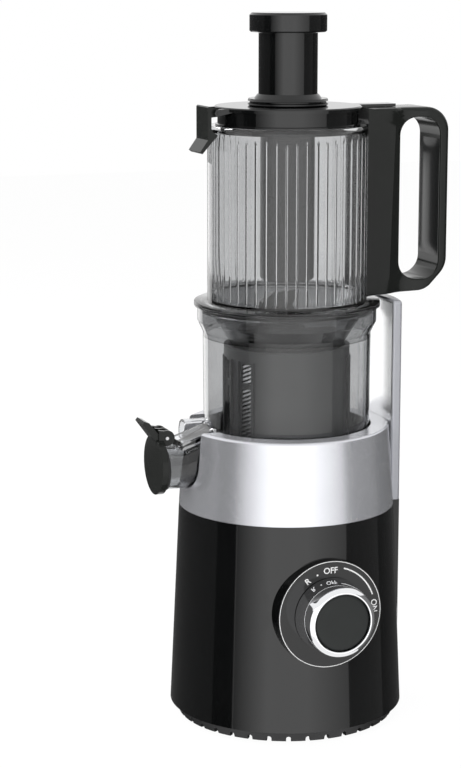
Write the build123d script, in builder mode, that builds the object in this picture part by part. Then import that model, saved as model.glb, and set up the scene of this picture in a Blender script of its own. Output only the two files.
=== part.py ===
"""Upright cold press juicer: motor base, juice bowl, auger, hopper, lid and pusher.

Frame: +Z up, origin on the drive axis at the standing surface.  The speed knob faces -Y,
the handle and the rear column stand towards +X, and the juice spout points towards -X.
All sizes are millimetres.
"""
from build123d import *
from math import acos, cos, pi, radians, sin, tan
import os

os.makedirs("parts", exist_ok=True)

# ---------------------------------------------------------------- driving dimensions
# Motor base
foot_height = 2.5
foot_radius = 8.0
foot_circle = 60.0
middle_pad_radius = 14.0
rim_bottom = 1.0            # lower edge of the vented base ring
base_bottom = 9.0           # lower edge of the black shell
base_height = 148.0         # black shell, up to the silver band
base_taper = 6.9            # the shell is this much slimmer at its top
band_height = 58.7
band_taper = 4.1
deck_rim = 12.8             # flat deck between the well and the band's edge
deck_round = 2.0            # rounded upper edge of the band
ring_tuck = 3.0             # the vented ring stands in from the shell
ring_taper = 3.0
shell_wall = 2.5
floor_thickness = 2.5
vent_count = 36
vent_width = 3.4
vent_height = 4.5
post_circle = 66.0
post_radius = 4.5
base_screw_radius = 1.85
gland_height = 24.0
gland_radius = 6.0
gland_bore = 3.6
gland_boot = 8.0            # length outside the shell
gland_sleeve = 7.5          # length through the shell
gland_relief = 0.6          # the sleeve's bore is wider than the boot's by this much

# Rear column
column_depth = 11.0         # flat face towards the bowl to the round rear face
column_width = 52.0

# Well in the deck, and what stands in it
well_depth = 37.9
well_gap = 1.3              # between the bowl and the well's wall
well_wall = 2.0
seat_thickness = 3.8
seat_collar = 5.0           # height of the raised collar round the shaft

# Juice bowl
bowl_radius = 58.8          # at its foot; the whole machine grows with it
bowl_flare = 1.1            # foot to deck
bowl_upper_flare = 0.5      # deck to shoulder
bowl_wall = 2.2
bowl_floor = 2.6
bowl_height = 105.0         # foot to shoulder
collar_step = 3.8
collar_rise = 8.0
collar_height = 10.5
flange_height = 2.0
flange_step = 2.4
collar_lap = 3.0            # the collar ring starts this far below the shoulder

# Juice spout and pulp outlet
nozzle_radius = 15.5
nozzle_drop = 4.5           # the nozzle hangs this far below the bowl's foot
nozzle_length = 13.5
nozzle_offset = 6.0         # nozzle starts this far outside the deck
spout_wall = 1.9
channel_width = 32.0
roof_width = 25.0           # flat sloping roof over the channel
roof_rise = 4.0             # above the channel's own top
roof_thickness = 5.5
roof_overlap = 4.0          # the roof's length over the nozzle
pulp_y = 34.5
pulp_rise = 28.0
pulp_radius = 9.5
pulp_inset = 6.5            # its open end stands in from the deck's edge
plug_length = 6.0
plug_bore = 5.0
notch_gap = 2.2
cap_disc_radius = 21.5
cap_thickness = 4.6
cap_seal_thickness = 3.6
hinge_pin_radius = 1.2      # spout cap and lid latch
claw_radius = 5.6

# Hopper
hopper_inset = 1.8          # hopper wall in from the bowl's foot radius
hopper_height = 126.0
hopper_wall = 2.2
hopper_flange = 1.5
neck_drop = 32.0
neck_inset = 5.0            # neck in from the strainer
neck_wall = 1.8
mouth_inset = 6.6
edge_round = 0.6            # rounded edges of the clear mouldings

# Lid, feed tube and pusher
lid_gap = 0.6
lid_lip_step = 2.4
lid_rise = 10.8
lid_lip_height = 3.0
lid_skirt_drop = 2.6
tube_gap = 0.25
tube_wall = 1.1
tube_height = 50.5          # above the lid
chute_step = 7.55
chute_height = 5.1
pusher_radius = 19.5
pusher_wall = 1.8
cap_overhang = 7.8
cap_height = 13.4
lid_latch_half = 12.0

# Handle
handle_half_width = 18.0
handle_overhang = 61.0      # beyond the hopper wall
mount_depth = 24.0          # hopper wall to the hand opening
grip_thickness = 7.0
handle_over_shoulder = 11.3
opening_lift = 10.7
handle_corner = 17.0
opening_corner = 13.5
magnet_radius = 4.0
magnet_height = 5.0
insert_depth = 2.2
insert_half = 10.0
insert_ends = 16.0

# Strainer and auger
strainer_inset = 14.8       # in from the bowl's foot radius
strainer_wall = 1.9
strainer_ring = 8.0         # height of the plain ring round its top
strainer_ring_step = 1.2
auger_gap = 0.7             # auger to strainer
auger_lift = 8.6
auger_pitch = 66.0
auger_lobe = 40.0           # angle of one flight, degrees
screen_thickness = 0.5

# Dial and knob
dial_rise = 85.5            # dial centre above the shell's lower edge
dial_radius = 38.8
dial_depth = 23.0
dial_front_wall = 3.0
knob_radius = 23.2          # at its front
knob_flare = 3.5            # wider by this much at the dial
knob_length = 22.5
knob_rim = 2.6
spindle_radius = 3.0

# Drive train
chassis_bottom = 97.0
chassis_thickness = 3.0
motor_radius = 34.0
motor_wall = 1.6
motor_shaft_radius = 3.0
motor_bush_radius = 6.0
countershaft_radius = 3.0
gear_module_1 = 0.8
gear_module_2 = 1.2
teeth_motor = 15
teeth_wheel = 75
teeth_pinion = 15
teeth_output = 45
shaft_radius = 6.0
bush_wall = 3.0
seal_wall = 4.0
collar_wall = 8.0
screw_radius = 1.5
screw_head = 2.8
motor_screw_circle = 20.0
housing_screw_width = 75.0
housing_screw_pitch = 40.0
hex_across_flats = 9.6
hex_length = 20.0

# Clearances
running_gap = 0.05          # radial, shafts in their bearings
slide_gap = 0.4             # pieces that lift or slide past each other
fit_gap = 0.15              # fixed pieces side by side
press_gap = 0.02            # radial, pieces pressed together
seat_gap = 0.2              # faces that rest on each other across a joint

# ---------------------------------------------------------------- derived radii
bowl_deck_radius = bowl_radius + bowl_flare
bowl_shoulder_radius = bowl_deck_radius + bowl_upper_flare
collar_radius = bowl_shoulder_radius + collar_step
flange_radius = collar_radius + flange_step
well_radius = bowl_deck_radius + well_gap
deck_radius = well_radius + deck_rim
band_bottom_radius = deck_radius + band_taper
base_radius = band_bottom_radius + base_taper
base_ring_top_radius = base_radius - ring_tuck
base_ring_bottom_radius = base_ring_top_radius - ring_taper
column_inner = deck_radius - 2.0
column_radius = column_inner + column_depth
hopper_radius = bowl_radius - hopper_inset
mouth_radius = hopper_radius - mouth_inset
strainer_radius = bowl_radius - strainer_inset
neck_radius = strainer_radius - neck_inset
auger_radius = strainer_radius - strainer_wall - auger_gap
auger_neck_radius = neck_radius - neck_wall - 2.0
lid_radius = mouth_radius - lid_gap
lid_lip_radius = lid_radius + lid_lip_step
tube_radius = pusher_radius + tube_gap + tube_wall
chute_ring_radius = tube_radius + chute_step
cap_radius = pusher_radius + cap_overhang
chassis_radius = band_bottom_radius - 7.1
drive_bush_radius = shaft_radius + bush_wall
shaft_seal_radius = shaft_radius + seal_wall
collar_outer_radius = shaft_radius + collar_wall
hub_inner_radius = collar_outer_radius + slide_gap
hub_radius = hub_inner_radius + bowl_wall
bowl_hole_radius = shaft_radius + 1.6
socket_radius = shaft_radius + 1.0
socket_across_flats = hex_across_flats + 2 * running_gap
pin_hole_radius = hinge_pin_radius + running_gap
dial_cut_radius = dial_radius + fit_gap
notch_half = nozzle_radius + notch_gap
pulp_notch = pulp_radius + notch_gap
pulp_bore_radius = pulp_radius - spout_wall
nozzle_start = deck_radius + nozzle_offset
nozzle_end = nozzle_start + nozzle_length
pulp_end = deck_radius - pulp_inset
cap_pin_x = nozzle_end + 1.0
cap_inner_x = nozzle_end + cap_seal_thickness
cap_outer_x = cap_inner_x + cap_thickness
handle_reach = hopper_radius + handle_overhang
opening_left = hopper_radius + mount_depth
magnet_x = column_inner + column_depth / 2
latch_pin_x = hopper_radius + 0.5
plate_x = latch_pin_x + 4.1
dial_face = base_radius - 1.0
dial_skirt_end = dial_face - dial_depth
switch_front = dial_face - dial_front_wall
knob_back = dial_face + 0.7
knob_front = knob_back + knob_length
countershaft_y = gear_module_2 * (teeth_pinion + teeth_output) / 2

# ---------------------------------------------------------------- derived heights
floor_bottom = foot_height
floor_top = floor_bottom + floor_thickness
band_bottom = base_bottom + base_height
deck_height = band_bottom + band_height
dial_height = base_bottom + dial_rise
chassis_top = chassis_bottom + chassis_thickness
motor_bottom = floor_top + 11.0
seat_top = deck_height - well_depth
seat_bottom = seat_top - seat_thickness
collar_top = seat_top + seat_collar
bowl_bottom = seat_top + seat_gap
bowl_floor_top = bowl_bottom + bowl_floor
bowl_shoulder = bowl_bottom + bowl_height
collar_foot = bowl_shoulder - collar_lap
upper_share = (collar_foot - deck_height) / (bowl_shoulder - deck_height)
bowl_cut_radius = bowl_deck_radius + bowl_upper_flare * upper_share
collar_bottom = bowl_shoulder + collar_rise
flange_bottom = collar_bottom + collar_height
flange_top = flange_bottom + flange_height
nozzle_height = bowl_bottom + nozzle_radius - nozzle_drop
nozzle_top = nozzle_height + nozzle_radius
notch_centre = nozzle_height + 2.0
channel_top = deck_height - 1.2
pulp_height = bowl_bottom + pulp_rise
cap_disc_z = nozzle_height + 3.0
cap_pin_z = nozzle_top + 8.0
cap_neck_top = cap_pin_z + 1.6
hub_height = seat_collar + 3.0
hopper_foot = flange_top + seat_gap
hopper_flange_top = hopper_foot + hopper_flange
hopper_floor = hopper_foot + 15.3
hopper_shoulder = hopper_foot + hopper_height
neck_bottom = hopper_foot - neck_drop
column_top = flange_top + 0.5
handle_bottom = column_top + 2.6
handle_top = hopper_shoulder + handle_over_shoulder
opening_bottom = handle_bottom + opening_lift
opening_top = handle_top - grip_thickness
opening_middle = (opening_bottom + opening_top) / 2
lid_lip_bottom = hopper_shoulder + lid_rise
lid_top = lid_lip_bottom + lid_lip_height
lid_skirt_bottom = hopper_shoulder - lid_skirt_drop
latch_pin_z = lid_lip_bottom - 0.5
chute_ring_top = lid_top + chute_height
tube_top = lid_top + tube_height
pusher_bottom = hopper_floor - 1.0
cap_bottom = tube_top + 3 * seat_gap
cap_top = cap_bottom + cap_height
strainer_bottom = bowl_floor_top
strainer_top = neck_bottom + 2.0
auger_bottom = bowl_bottom + auger_lift
flight_low = auger_bottom + 5.0
flight_high = neck_bottom - 1.2     # top of the wide flights, just under the hopper neck
auger_top = neck_bottom + 16.0
shaft_shoulder = auger_bottom + 1.4
shaft_top = shaft_shoulder + hex_length


def taper_radius(z):
    """Outer radius of the motor base at height z."""
    if z > band_bottom:
        return band_bottom_radius - (z - band_bottom) / band_height * band_taper
    share = (z - base_bottom) / base_height
    return base_radius - share * base_taper


def turn(*points, mode=Mode.ADD):
    """Turn a closed outline of (radius, height) points about the drive axis."""
    with BuildSketch(Plane.XZ) as outline:
        with BuildLine():
            Polyline(*points, close=True)
        make_face()
    revolve(outline.sketch, axis=Axis.Z, mode=mode)


def ring(outer, inner, bottom, top, at=(0, 0), mode=Mode.ADD):
    """A plain tube about a vertical axis, or a disc where inner is 0."""
    with BuildSketch(Plane.XY.offset(bottom)) as section:
        with Locations(at):
            Circle(outer)
            if inner:
                Circle(inner, mode=Mode.SUBTRACT)
    extrude(section.sketch, amount=top - bottom, mode=mode)


def front_ring(outer, inner, back, front, height=dial_height, mode=Mode.ADD):
    """A tube about the knob axis, from y = -back forward to y = -front."""
    with BuildSketch(Plane.XZ.offset(back)) as section:
        with Locations((0, height)):
            Circle(outer)
            if inner:
                Circle(inner, mode=Mode.SUBTRACT)
    extrude(section.sketch, amount=front - back, mode=mode)


def circles(build, radius, z):
    """Full circles about the drive axis on a piece, with a given radius and height."""
    return [e for e in build.edges().filter_by(GeomType.CIRCLE)
            if abs(e.radius - radius) < 0.01 and abs(e.arc_center.Z - z) < 0.01]


def save(piece, name):
    """Label a finished piece and write its STEP file."""
    piece.label = name
    export_step(piece, f"parts/{name}.step")


# ---------------------------------------------------------------- motor base: outer pieces
def column_outline(inset):
    """Plan of the rear column, shrunk by inset on every side."""
    with BuildSketch() as plan:
        Circle(column_radius - inset)
        with Locations((column_inner + inset + 50, 0)):
            Rectangle(100, column_width - 2 * inset, mode=Mode.INTERSECT)
    return plan.sketch


with BuildPart() as base_shell:
    turn((0, base_bottom), (base_radius, base_bottom), (band_bottom_radius, band_bottom),
         (0, band_bottom))
    extrude(column_outline(0).moved(Location((0, 0, base_bottom))), amount=band_bottom - base_bottom)
    turn((0, base_bottom - 1), (base_radius - shell_wall, base_bottom - 1),
         (base_radius - shell_wall, base_bottom), (band_bottom_radius - shell_wall, band_bottom),
         (band_bottom_radius - shell_wall, band_bottom + 1), (0, band_bottom + 1), mode=Mode.SUBTRACT)
    extrude(column_outline(shell_wall).moved(Location((0, 0, base_bottom - 1))),
            amount=band_bottom - base_bottom + 2, mode=Mode.SUBTRACT)
    front_ring(dial_cut_radius, 0, 40, 100, mode=Mode.SUBTRACT)
    with BuildSketch(Plane.XZ.offset(-100)) as gland_hole:
        with Locations((0, gland_height)):
            Circle(gland_radius + running_gap)
    extrude(gland_hole.sketch, amount=30, mode=Mode.SUBTRACT)
save(base_shell.part, "base_shell")

with BuildPart() as base_plate:
    lip = base_radius - shell_wall - fit_gap
    turn((0, floor_bottom), (base_ring_bottom_radius - 4, floor_bottom),
         (base_ring_bottom_radius - 3, rim_bottom), (base_ring_bottom_radius, rim_bottom),
         (base_ring_top_radius, base_bottom - 0.6), (base_ring_top_radius, base_bottom),
         (lip - 0.4, base_bottom), (lip - 0.4, base_bottom + 3),
         (lip - 2.4, base_bottom + 3), (base_ring_bottom_radius - 4, floor_top), (0, floor_top))
    with PolarLocations(base_ring_bottom_radius, vent_count):
        with Locations((0, 0, rim_bottom)):
            Box(12, vent_width, vent_height, mode=Mode.SUBTRACT)
        with Locations((0, 0, rim_bottom + vent_height / 2)):
            Cylinder(vent_width / 2, 12, rotation=(0, 90, 0), mode=Mode.SUBTRACT)
    # cooling slots under the motor, in two rings
    for slot_circle, slot_count in ((24, 12), (42, 20)):
        with BuildSketch(Plane.XY.offset(floor_bottom)) as slots:
            with PolarLocations(slot_circle, slot_count):
                SlotOverall(11, 3.2)
        extrude(slots.sketch, amount=floor_thickness, mode=Mode.SUBTRACT)
    # posts that carry the steel chassis plate
    with BuildSketch(Plane.XY.offset(floor_top)) as posts:
        with PolarLocations(post_circle, 3, start_angle=90):
            Circle(post_radius)
    extrude(posts.sketch, amount=chassis_bottom - floor_top)
    with BuildSketch(Plane.XY.offset(floor_bottom)) as bores:
        with PolarLocations(post_circle, 3, start_angle=90):
            Circle(base_screw_radius + running_gap)
    extrude(bores.sketch, amount=22, mode=Mode.SUBTRACT)
save(base_plate.part, "base_plate")

with BuildPart() as feet:
    with BuildSketch() as pads:
        with PolarLocations(foot_circle, 4, start_angle=45):
            Circle(foot_radius)
        Circle(middle_pad_radius)
    extrude(pads.sketch, amount=foot_height)
    fillet(feet.edges().group_by(Axis.Z)[0], 0.8)
save(feet.part, "rubber_feet")

with BuildPart() as base_screws:
    screw_z = floor_bottom - 1.4
    with BuildSketch(Plane.XY.offset(screw_z)) as heads:
        with PolarLocations(post_circle, 3, start_angle=90):
            Circle(base_screw_radius + 1.3)
    extrude(heads.sketch, amount=floor_bottom - screw_z)
    with BuildSketch(Plane.XY.offset(floor_bottom)) as shanks:
        with PolarLocations(post_circle, 3, start_angle=90):
            Circle(base_screw_radius)
    extrude(shanks.sketch, amount=16)
save(base_screws.part, "base_screws")


def spout_notch(half, centre, y, start, end):
    """U-shaped prism along X, open upwards to just above the deck."""
    with BuildSketch(Plane.YZ.offset(-end)) as profile:
        with Locations((y, centre)):
            Circle(half)
        with Locations((y, (centre + deck_height + 2) / 2)):
            Rectangle(2 * half, deck_height + 2 - centre)
    return extrude(profile.sketch, amount=end - start, mode=Mode.PRIVATE)


main_notch = spout_notch(notch_half, notch_centre, 0, 50, 95)
main_saddle = spout_notch(notch_half + 2, notch_centre, 0, 50, 95)
pulp_slot = spout_notch(pulp_notch, pulp_height, pulp_y, 35, 95)
pulp_saddle = spout_notch(pulp_notch + 2, pulp_height, pulp_y, 35, 95)

with BuildPart() as band_hollow:
    turn((well_radius + well_wall, band_bottom - 1), (band_bottom_radius - shell_wall, band_bottom - 1),
         (band_bottom_radius - shell_wall, band_bottom),
         (deck_radius - shell_wall, deck_height - shell_wall),
         (well_radius + well_wall, deck_height - shell_wall))
    add(main_saddle, mode=Mode.SUBTRACT)
    add(pulp_saddle, mode=Mode.SUBTRACT)

with BuildPart() as silver_band:
    turn((well_radius, band_bottom), (band_bottom_radius, band_bottom),
         (deck_radius, deck_height), (well_radius, deck_height))
    fillet(circles(silver_band, deck_radius, deck_height), deck_round)
    add(band_hollow.part, mode=Mode.SUBTRACT)
    ring(well_radius + well_wall, 0, band_bottom, deck_height - shell_wall, mode=Mode.SUBTRACT)
    add(main_notch, mode=Mode.SUBTRACT)
    add(pulp_slot, mode=Mode.SUBTRACT)
    with BuildSketch(Plane.XY.offset(band_bottom)) as column_cut:
        with Locations((column_inner - fit_gap + 50, 0)):
            Rectangle(100, column_width + 2 * fit_gap)
    extrude(column_cut.sketch, amount=deck_height - band_bottom, mode=Mode.SUBTRACT)
save(silver_band.part, "silver_band")

# inner wall of the well, under the deck
with BuildPart() as bowl_well:
    ring(well_radius + well_wall, well_radius, band_bottom, deck_height - shell_wall)
    add(main_notch, mode=Mode.SUBTRACT)
    add(pulp_slot, mode=Mode.SUBTRACT)
save(bowl_well.part, "bowl_well")

with BuildPart() as column_cover:
    extrude(column_outline(0).moved(Location((0, 0, band_bottom))), amount=column_top - band_bottom)
    fillet(column_cover.edges().filter_by(Axis.Z), 2.0)
    fillet(column_cover.edges().group_by(Axis.Z)[-1], 2.5)
    extrude(column_outline(shell_wall).moved(Location((0, 0, band_bottom))),
            amount=column_top - shell_wall - band_bottom, mode=Mode.SUBTRACT)
save(column_cover.part, "column_cover")

with BuildPart() as bowl_seat:
    ring(well_radius - fit_gap, shaft_seal_radius, seat_bottom, seat_top)
    ring(collar_outer_radius, shaft_seal_radius, seat_top, collar_top)
save(bowl_seat.part, "bowl_seat")

with BuildPart() as shaft_seal:
    ring(shaft_seal_radius - press_gap, shaft_radius + running_gap, seat_bottom, collar_top)
save(shaft_seal.part, "shaft_seal")

with BuildPart() as interlock_sensor:
    with Locations((magnet_x, 0, column_top - shell_wall - 5)):
        Box(5, 14, 10)
save(interlock_sensor.part, "interlock_sensor")

def gland_tube(outer, inner, y, length):
    """A tube round the cord's axis, from y outwards."""
    with BuildSketch(Plane.XZ.offset(-y)) as section:
        with Locations((0, gland_height)):
            Circle(outer)
            Circle(inner, mode=Mode.SUBTRACT)
    extrude(section.sketch, amount=-length)


gland_y = base_radius + slide_gap       # the boot starts just outside the shell's widest place
with BuildPart() as cord_gland:
    gland_tube(gland_radius, gland_bore, gland_y, gland_boot)
save(cord_gland.part, "cord_gland")

with BuildPart() as gland_nut:
    gland_tube(gland_radius, gland_bore + gland_relief, gland_y - gland_sleeve, gland_sleeve)
    gland_tube(gland_radius + 3, gland_radius, gland_y - gland_sleeve - 0.6, 3)
save(gland_nut.part, "gland_nut")

# ---------------------------------------------------------------- dial, switch and knob
with BuildPart() as dial_plate:
    front_ring(dial_radius, 0, dial_skirt_end, dial_face)
    front_ring(dial_radius - 2.5, 0, dial_skirt_end, switch_front, mode=Mode.SUBTRACT)
    front_ring(spindle_radius + 3 * slide_gap, 0, switch_front, dial_face, mode=Mode.SUBTRACT)
    # standoffs for the control board
    with BuildSketch(Plane.XZ.offset(dial_skirt_end)) as standoffs:
        with Locations((0, dial_height)):
            with GridLocations(40, 46, 2, 2):
                Circle(3)
    extrude(standoffs.sketch, amount=switch_front - dial_skirt_end)
save(dial_plate.part, "dial_plate")

with BuildPart() as selector_switch:
    with Locations((0, -(switch_front - 8), dial_height)):
        Box(28, 16, 28)
    front_ring(spindle_radius + running_gap, 0, switch_front - 14, switch_front, mode=Mode.SUBTRACT)
save(selector_switch.part, "selector_switch")

with BuildPart() as control_board:
    with Locations((0, -(dial_skirt_end - 0.8), dial_height)):
        Box(50, 1.6, 56)
    for part_x, part_z, size_x, size_y, size_z in ((-12, 14, 12, 9, 16), (10, 16, 9, 8, 9),
                                                   (6, -12, 16, 6, 10)):
        with Locations((part_x, -(dial_skirt_end - 1.6 - size_y / 2), dial_height + part_z)):
            Box(size_x, size_y, size_z)
save(control_board.part, "control_board")

with BuildPart() as knob_spindle:
    front_ring(spindle_radius, 0, switch_front - 13, knob_front - 8)
save(knob_spindle.part, "knob_spindle")

with BuildPart() as knob_ring:
    for radius, depth in ((knob_radius + knob_flare, knob_back), (knob_radius, knob_front)):
        with BuildSketch(Plane.XZ.offset(depth)):
            with Locations((0, dial_height)):
                Circle(radius)
    loft()
    chamfer(knob_ring.edges().filter_by(GeomType.CIRCLE).sort_by(Axis.Y)[0], 0.8)
    front_ring(knob_radius - knob_rim, 0, knob_front - 3, knob_front, mode=Mode.SUBTRACT)
    front_ring(knob_radius - knob_rim, 8, knob_back, knob_front - 5, mode=Mode.SUBTRACT)
    front_ring(spindle_radius + press_gap, 0, knob_back, knob_front - 8, mode=Mode.SUBTRACT)
save(knob_ring.part, "knob_ring")

with BuildPart() as knob_cap:
    front_ring(knob_radius - knob_rim - press_gap, 0, knob_front - 3, knob_front - 0.9)
    fillet(knob_cap.edges().filter_by(GeomType.CIRCLE).sort_by(Axis.Y)[0], 0.8)
save(knob_cap.part, "knob_cap")

# ---------------------------------------------------------------- drive train
with BuildPart() as chassis_plate:
    ring(chassis_radius, 0, chassis_bottom, chassis_top)
    with Locations((0, -(dial_skirt_end - 12) - 50, chassis_bottom)):
        Box(200, 100, 20, mode=Mode.SUBTRACT)
    ring(motor_bush_radius + 3, 0, chassis_bottom, chassis_top, mode=Mode.SUBTRACT)
    with BuildSketch(Plane.XY.offset(chassis_bottom)) as screw_holes:
        with PolarLocations(motor_screw_circle, 3, start_angle=60):
            Circle(screw_radius + running_gap)
        with Locations((0, countershaft_y / 2)):
            with GridLocations(housing_screw_width, housing_screw_pitch, 2, 2):
                Circle(screw_radius + running_gap)
    extrude(screw_holes.sketch, amount=chassis_thickness, mode=Mode.SUBTRACT)
    ring(countershaft_radius + press_gap, 0, chassis_bottom, chassis_top, at=(0, countershaft_y),
         mode=Mode.SUBTRACT)
save(chassis_plate.part, "chassis_plate")

with BuildPart() as motor_can:
    ring(motor_radius, 0, motor_bottom, chassis_bottom)
    ring(motor_radius - motor_wall, 0, motor_bottom + 2, chassis_bottom - 3, mode=Mode.SUBTRACT)
    ring(motor_bush_radius, 0, motor_bottom, chassis_bottom, mode=Mode.SUBTRACT)
    with BuildSketch(Plane.XY.offset(chassis_bottom - 3)) as threads:
        with PolarLocations(motor_screw_circle, 3, start_angle=60):
            Circle(screw_radius + running_gap)
    extrude(threads.sketch, amount=3, mode=Mode.SUBTRACT)
    # cooling windows near both ends of the can
    for window_z in (motor_bottom + 8, chassis_bottom - 11):
        with PolarLocations(motor_radius, 6):
            with Locations((0, 0, window_z)):
                Box(12, 14, 6, mode=Mode.SUBTRACT)
save(motor_can.part, "motor_can")

with BuildPart() as motor_magnets:
    for quarter in (0, 90, 180, 270):
        with BuildSketch(Plane.XY.offset(motor_bottom + 18).rotated((0, 0, quarter))) as magnet:
            Circle(motor_radius - motor_wall - running_gap)
            Circle(motor_radius - 6.5, mode=Mode.SUBTRACT)
            with Locations((35, 0)):
                Rectangle(60, 36, mode=Mode.INTERSECT)
        extrude(magnet.sketch, amount=44)
save(motor_magnets.part, "motor_magnets")

with BuildPart() as motor_bushes:
    for bush_bottom, bush_top in ((motor_bottom - 2, motor_bottom + 4),
                                  (chassis_bottom - 5, chassis_bottom + 1)):
        ring(motor_bush_radius - press_gap, motor_shaft_radius + running_gap, bush_bottom, bush_top)
save(motor_bushes.part, "motor_bushes")

with BuildPart() as motor_rotor:
    ring(motor_shaft_radius, 0, floor_top + 1.5, chassis_top + 10)
    with BuildSketch(Plane.XY.offset(motor_bottom + 16)) as laminations:
        Circle(motor_radius - 7.5)
        with PolarLocations(motor_radius - 9.5, 12):
            Rectangle(8, 3, mode=Mode.SUBTRACT)
    extrude(laminations.sketch, amount=48)
    ring(10, 0, motor_bottom + 64, motor_bottom + 74)
save(motor_rotor.part, "motor_rotor")

with BuildPart() as cooling_fan:
    fan_bottom = floor_top + 1.0
    ring(7, motor_shaft_radius + press_gap, fan_bottom, fan_bottom + 7)
    ring(27, 7, fan_bottom, fan_bottom + 1.4)
    with BuildSketch(Plane.XY.offset(fan_bottom)) as blades:
        with PolarLocations(17, 9):
            Rectangle(20, 1.4, rotation=25)
    extrude(blades.sketch, amount=6)
save(cooling_fan.part, "cooling_fan")


def gear_sketch(module, teeth, backlash=0.10):
    """Involute spur gear outline, with a short tip and thinned teeth for a free mesh."""
    pitch = module * teeth / 2
    base = pitch * cos(radians(20))
    tip = pitch + 0.85 * module
    root = pitch - 1.2 * module
    half_pitch_angle = pi / (2 * teeth) - backlash / pitch
    involute_at_pitch = tan(radians(20)) - radians(20)
    start = max(base, root + 0.05 * module)

    def flank(radius):
        """Half the tooth's angle at a radius."""
        pressure = acos(min(1.0, base / radius))
        return half_pitch_angle + involute_at_pitch - (tan(pressure) - pressure)

    steps = 5
    radii = [start + (tip - start) * i / steps for i in range(steps + 1)]
    points = []
    for tooth in range(teeth):
        middle = 2 * pi * tooth / teeth
        gap = middle - pi / teeth
        root_half = pi / teeth - flank(start)
        rise = [(gap + root_half * 0.8, root)] + [(middle - flank(r), r) for r in radii]
        fall = [(middle + flank(r), r) for r in reversed(radii)]
        fall.append((middle + pi / teeth - root_half * 0.8, root))
        points += [(r * cos(a), r * sin(a)) for a, r in rise + fall]
    with BuildSketch() as outline:
        with BuildLine():
            Polyline(*points, close=True)
        make_face()
    return outline.sketch


def gear_on(module, teeth, bottom, height, bore, at=(0, 0), turn_by=0.0):
    """A spur gear with a bore, standing at a height above the table."""
    place = Location((at[0], at[1], bottom), (0, 0, turn_by))
    extrude(gear_sketch(module, teeth).moved(place), amount=height)
    if bore:
        ring(bore, 0, bottom, bottom + height, at=at, mode=Mode.SUBTRACT)


# The wheel above the motor pinion lies towards +Y.  At rest a tooth of each driving gear
# points at +Y, and a gap of the gear it drives faces it.
gear_level_1 = chassis_top + 1.5
gear_level_2 = gear_level_1 + 9.0
with BuildPart() as motor_pinion:
    gear_on(gear_module_1, teeth_motor, gear_level_1, 7.5, motor_shaft_radius + press_gap,
            turn_by=90.0)
save(motor_pinion.part, "motor_pinion")

wheel_turn = -90.0 + 180.0 / teeth_wheel
pinion_turn = -90.0
with BuildPart() as reduction_wheel:
    gear_on(gear_module_1, teeth_wheel, gear_level_1 + 0.5, 6.5, 0, at=(0, countershaft_y),
            turn_by=wheel_turn)
    ring(7.2, 0, gear_level_1 + 7.0, gear_level_2, at=(0, countershaft_y))
    gear_on(gear_module_2, teeth_pinion, gear_level_2, 13.0, 0, at=(0, countershaft_y),
            turn_by=pinion_turn)
    ring(countershaft_radius + running_gap, 0, gear_level_1, gear_level_2 + 13.0, at=(0, countershaft_y),
         mode=Mode.SUBTRACT)
save(reduction_wheel.part, "reduction_wheel")

output_turn = 90.0 + 180.0 / teeth_output
with BuildPart() as output_gear:
    gear_on(gear_module_2, teeth_output, gear_level_2 + 0.8, 11.0, shaft_radius + press_gap,
            turn_by=output_turn)
save(output_gear.part, "output_gear")

housing_top = gear_level_2 + 15.0
with BuildPart() as gear_housing:
    for inset, chamber_top, chamber_mode in ((0, housing_top + 3, Mode.ADD),
                                             (1.5, housing_top, Mode.SUBTRACT)):
        with BuildSketch(Plane.XY.offset(chassis_top)) as chamber:
            with Locations((0, countershaft_y / 2)):
                SlotCenterToCenter(countershaft_y, 67 - 2 * inset, rotation=90)
        extrude(chamber.sketch, amount=chamber_top - chassis_top, mode=chamber_mode)
    ring(collar_outer_radius, 0, housing_top, seat_bottom)
    ring(drive_bush_radius, 0, housing_top, seat_bottom, mode=Mode.SUBTRACT)
    ring(countershaft_radius + press_gap, 0, housing_top, housing_top + 3, at=(0, countershaft_y),
         mode=Mode.SUBTRACT)
    # four screw ears
    with BuildSketch(Plane.XY.offset(chassis_top)) as ears:
        with Locations((0, countershaft_y / 2)):
            with GridLocations(housing_screw_width, housing_screw_pitch, 2, 2):
                Rectangle(10, 9)
                Circle(screw_radius + running_gap, mode=Mode.SUBTRACT)
            SlotCenterToCenter(countershaft_y, 66, rotation=90, mode=Mode.SUBTRACT)
    extrude(ears.sketch, amount=3)
save(gear_housing.part, "gear_housing")

with BuildPart() as housing_screws:
    for bottom, top, radius in ((chassis_bottom, chassis_top + 3, screw_radius),
                                (chassis_top + 3, chassis_top + 5, screw_head)):
        with BuildSketch(Plane.XY.offset(bottom)) as fixings:
            with Locations((0, countershaft_y / 2)):
                with GridLocations(housing_screw_width, housing_screw_pitch, 2, 2):
                    Circle(radius)
        extrude(fixings.sketch, amount=top - bottom)
save(housing_screws.part, "housing_screws")

with BuildPart() as motor_screws:
    for bottom, top, radius in ((chassis_bottom - 2.5, chassis_top, screw_radius),
                                (chassis_top, chassis_top + 1.4, screw_head)):
        with BuildSketch(Plane.XY.offset(bottom)) as fixings:
            with PolarLocations(motor_screw_circle, 3, start_angle=60):
                Circle(radius)
        extrude(fixings.sketch, amount=top - bottom)
save(motor_screws.part, "motor_screws")

with BuildPart() as countershaft:
    ring(countershaft_radius, 0, chassis_bottom, housing_top + 3, at=(0, countershaft_y))
save(countershaft.part, "countershaft")

with BuildPart() as drive_bushes:
    for bush_bottom, bush_top in ((housing_top, housing_top + 9), (seat_bottom - 10, seat_bottom)):
        ring(drive_bush_radius - press_gap, shaft_radius + running_gap, bush_bottom, bush_top)
save(drive_bushes.part, "drive_bushes")

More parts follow.
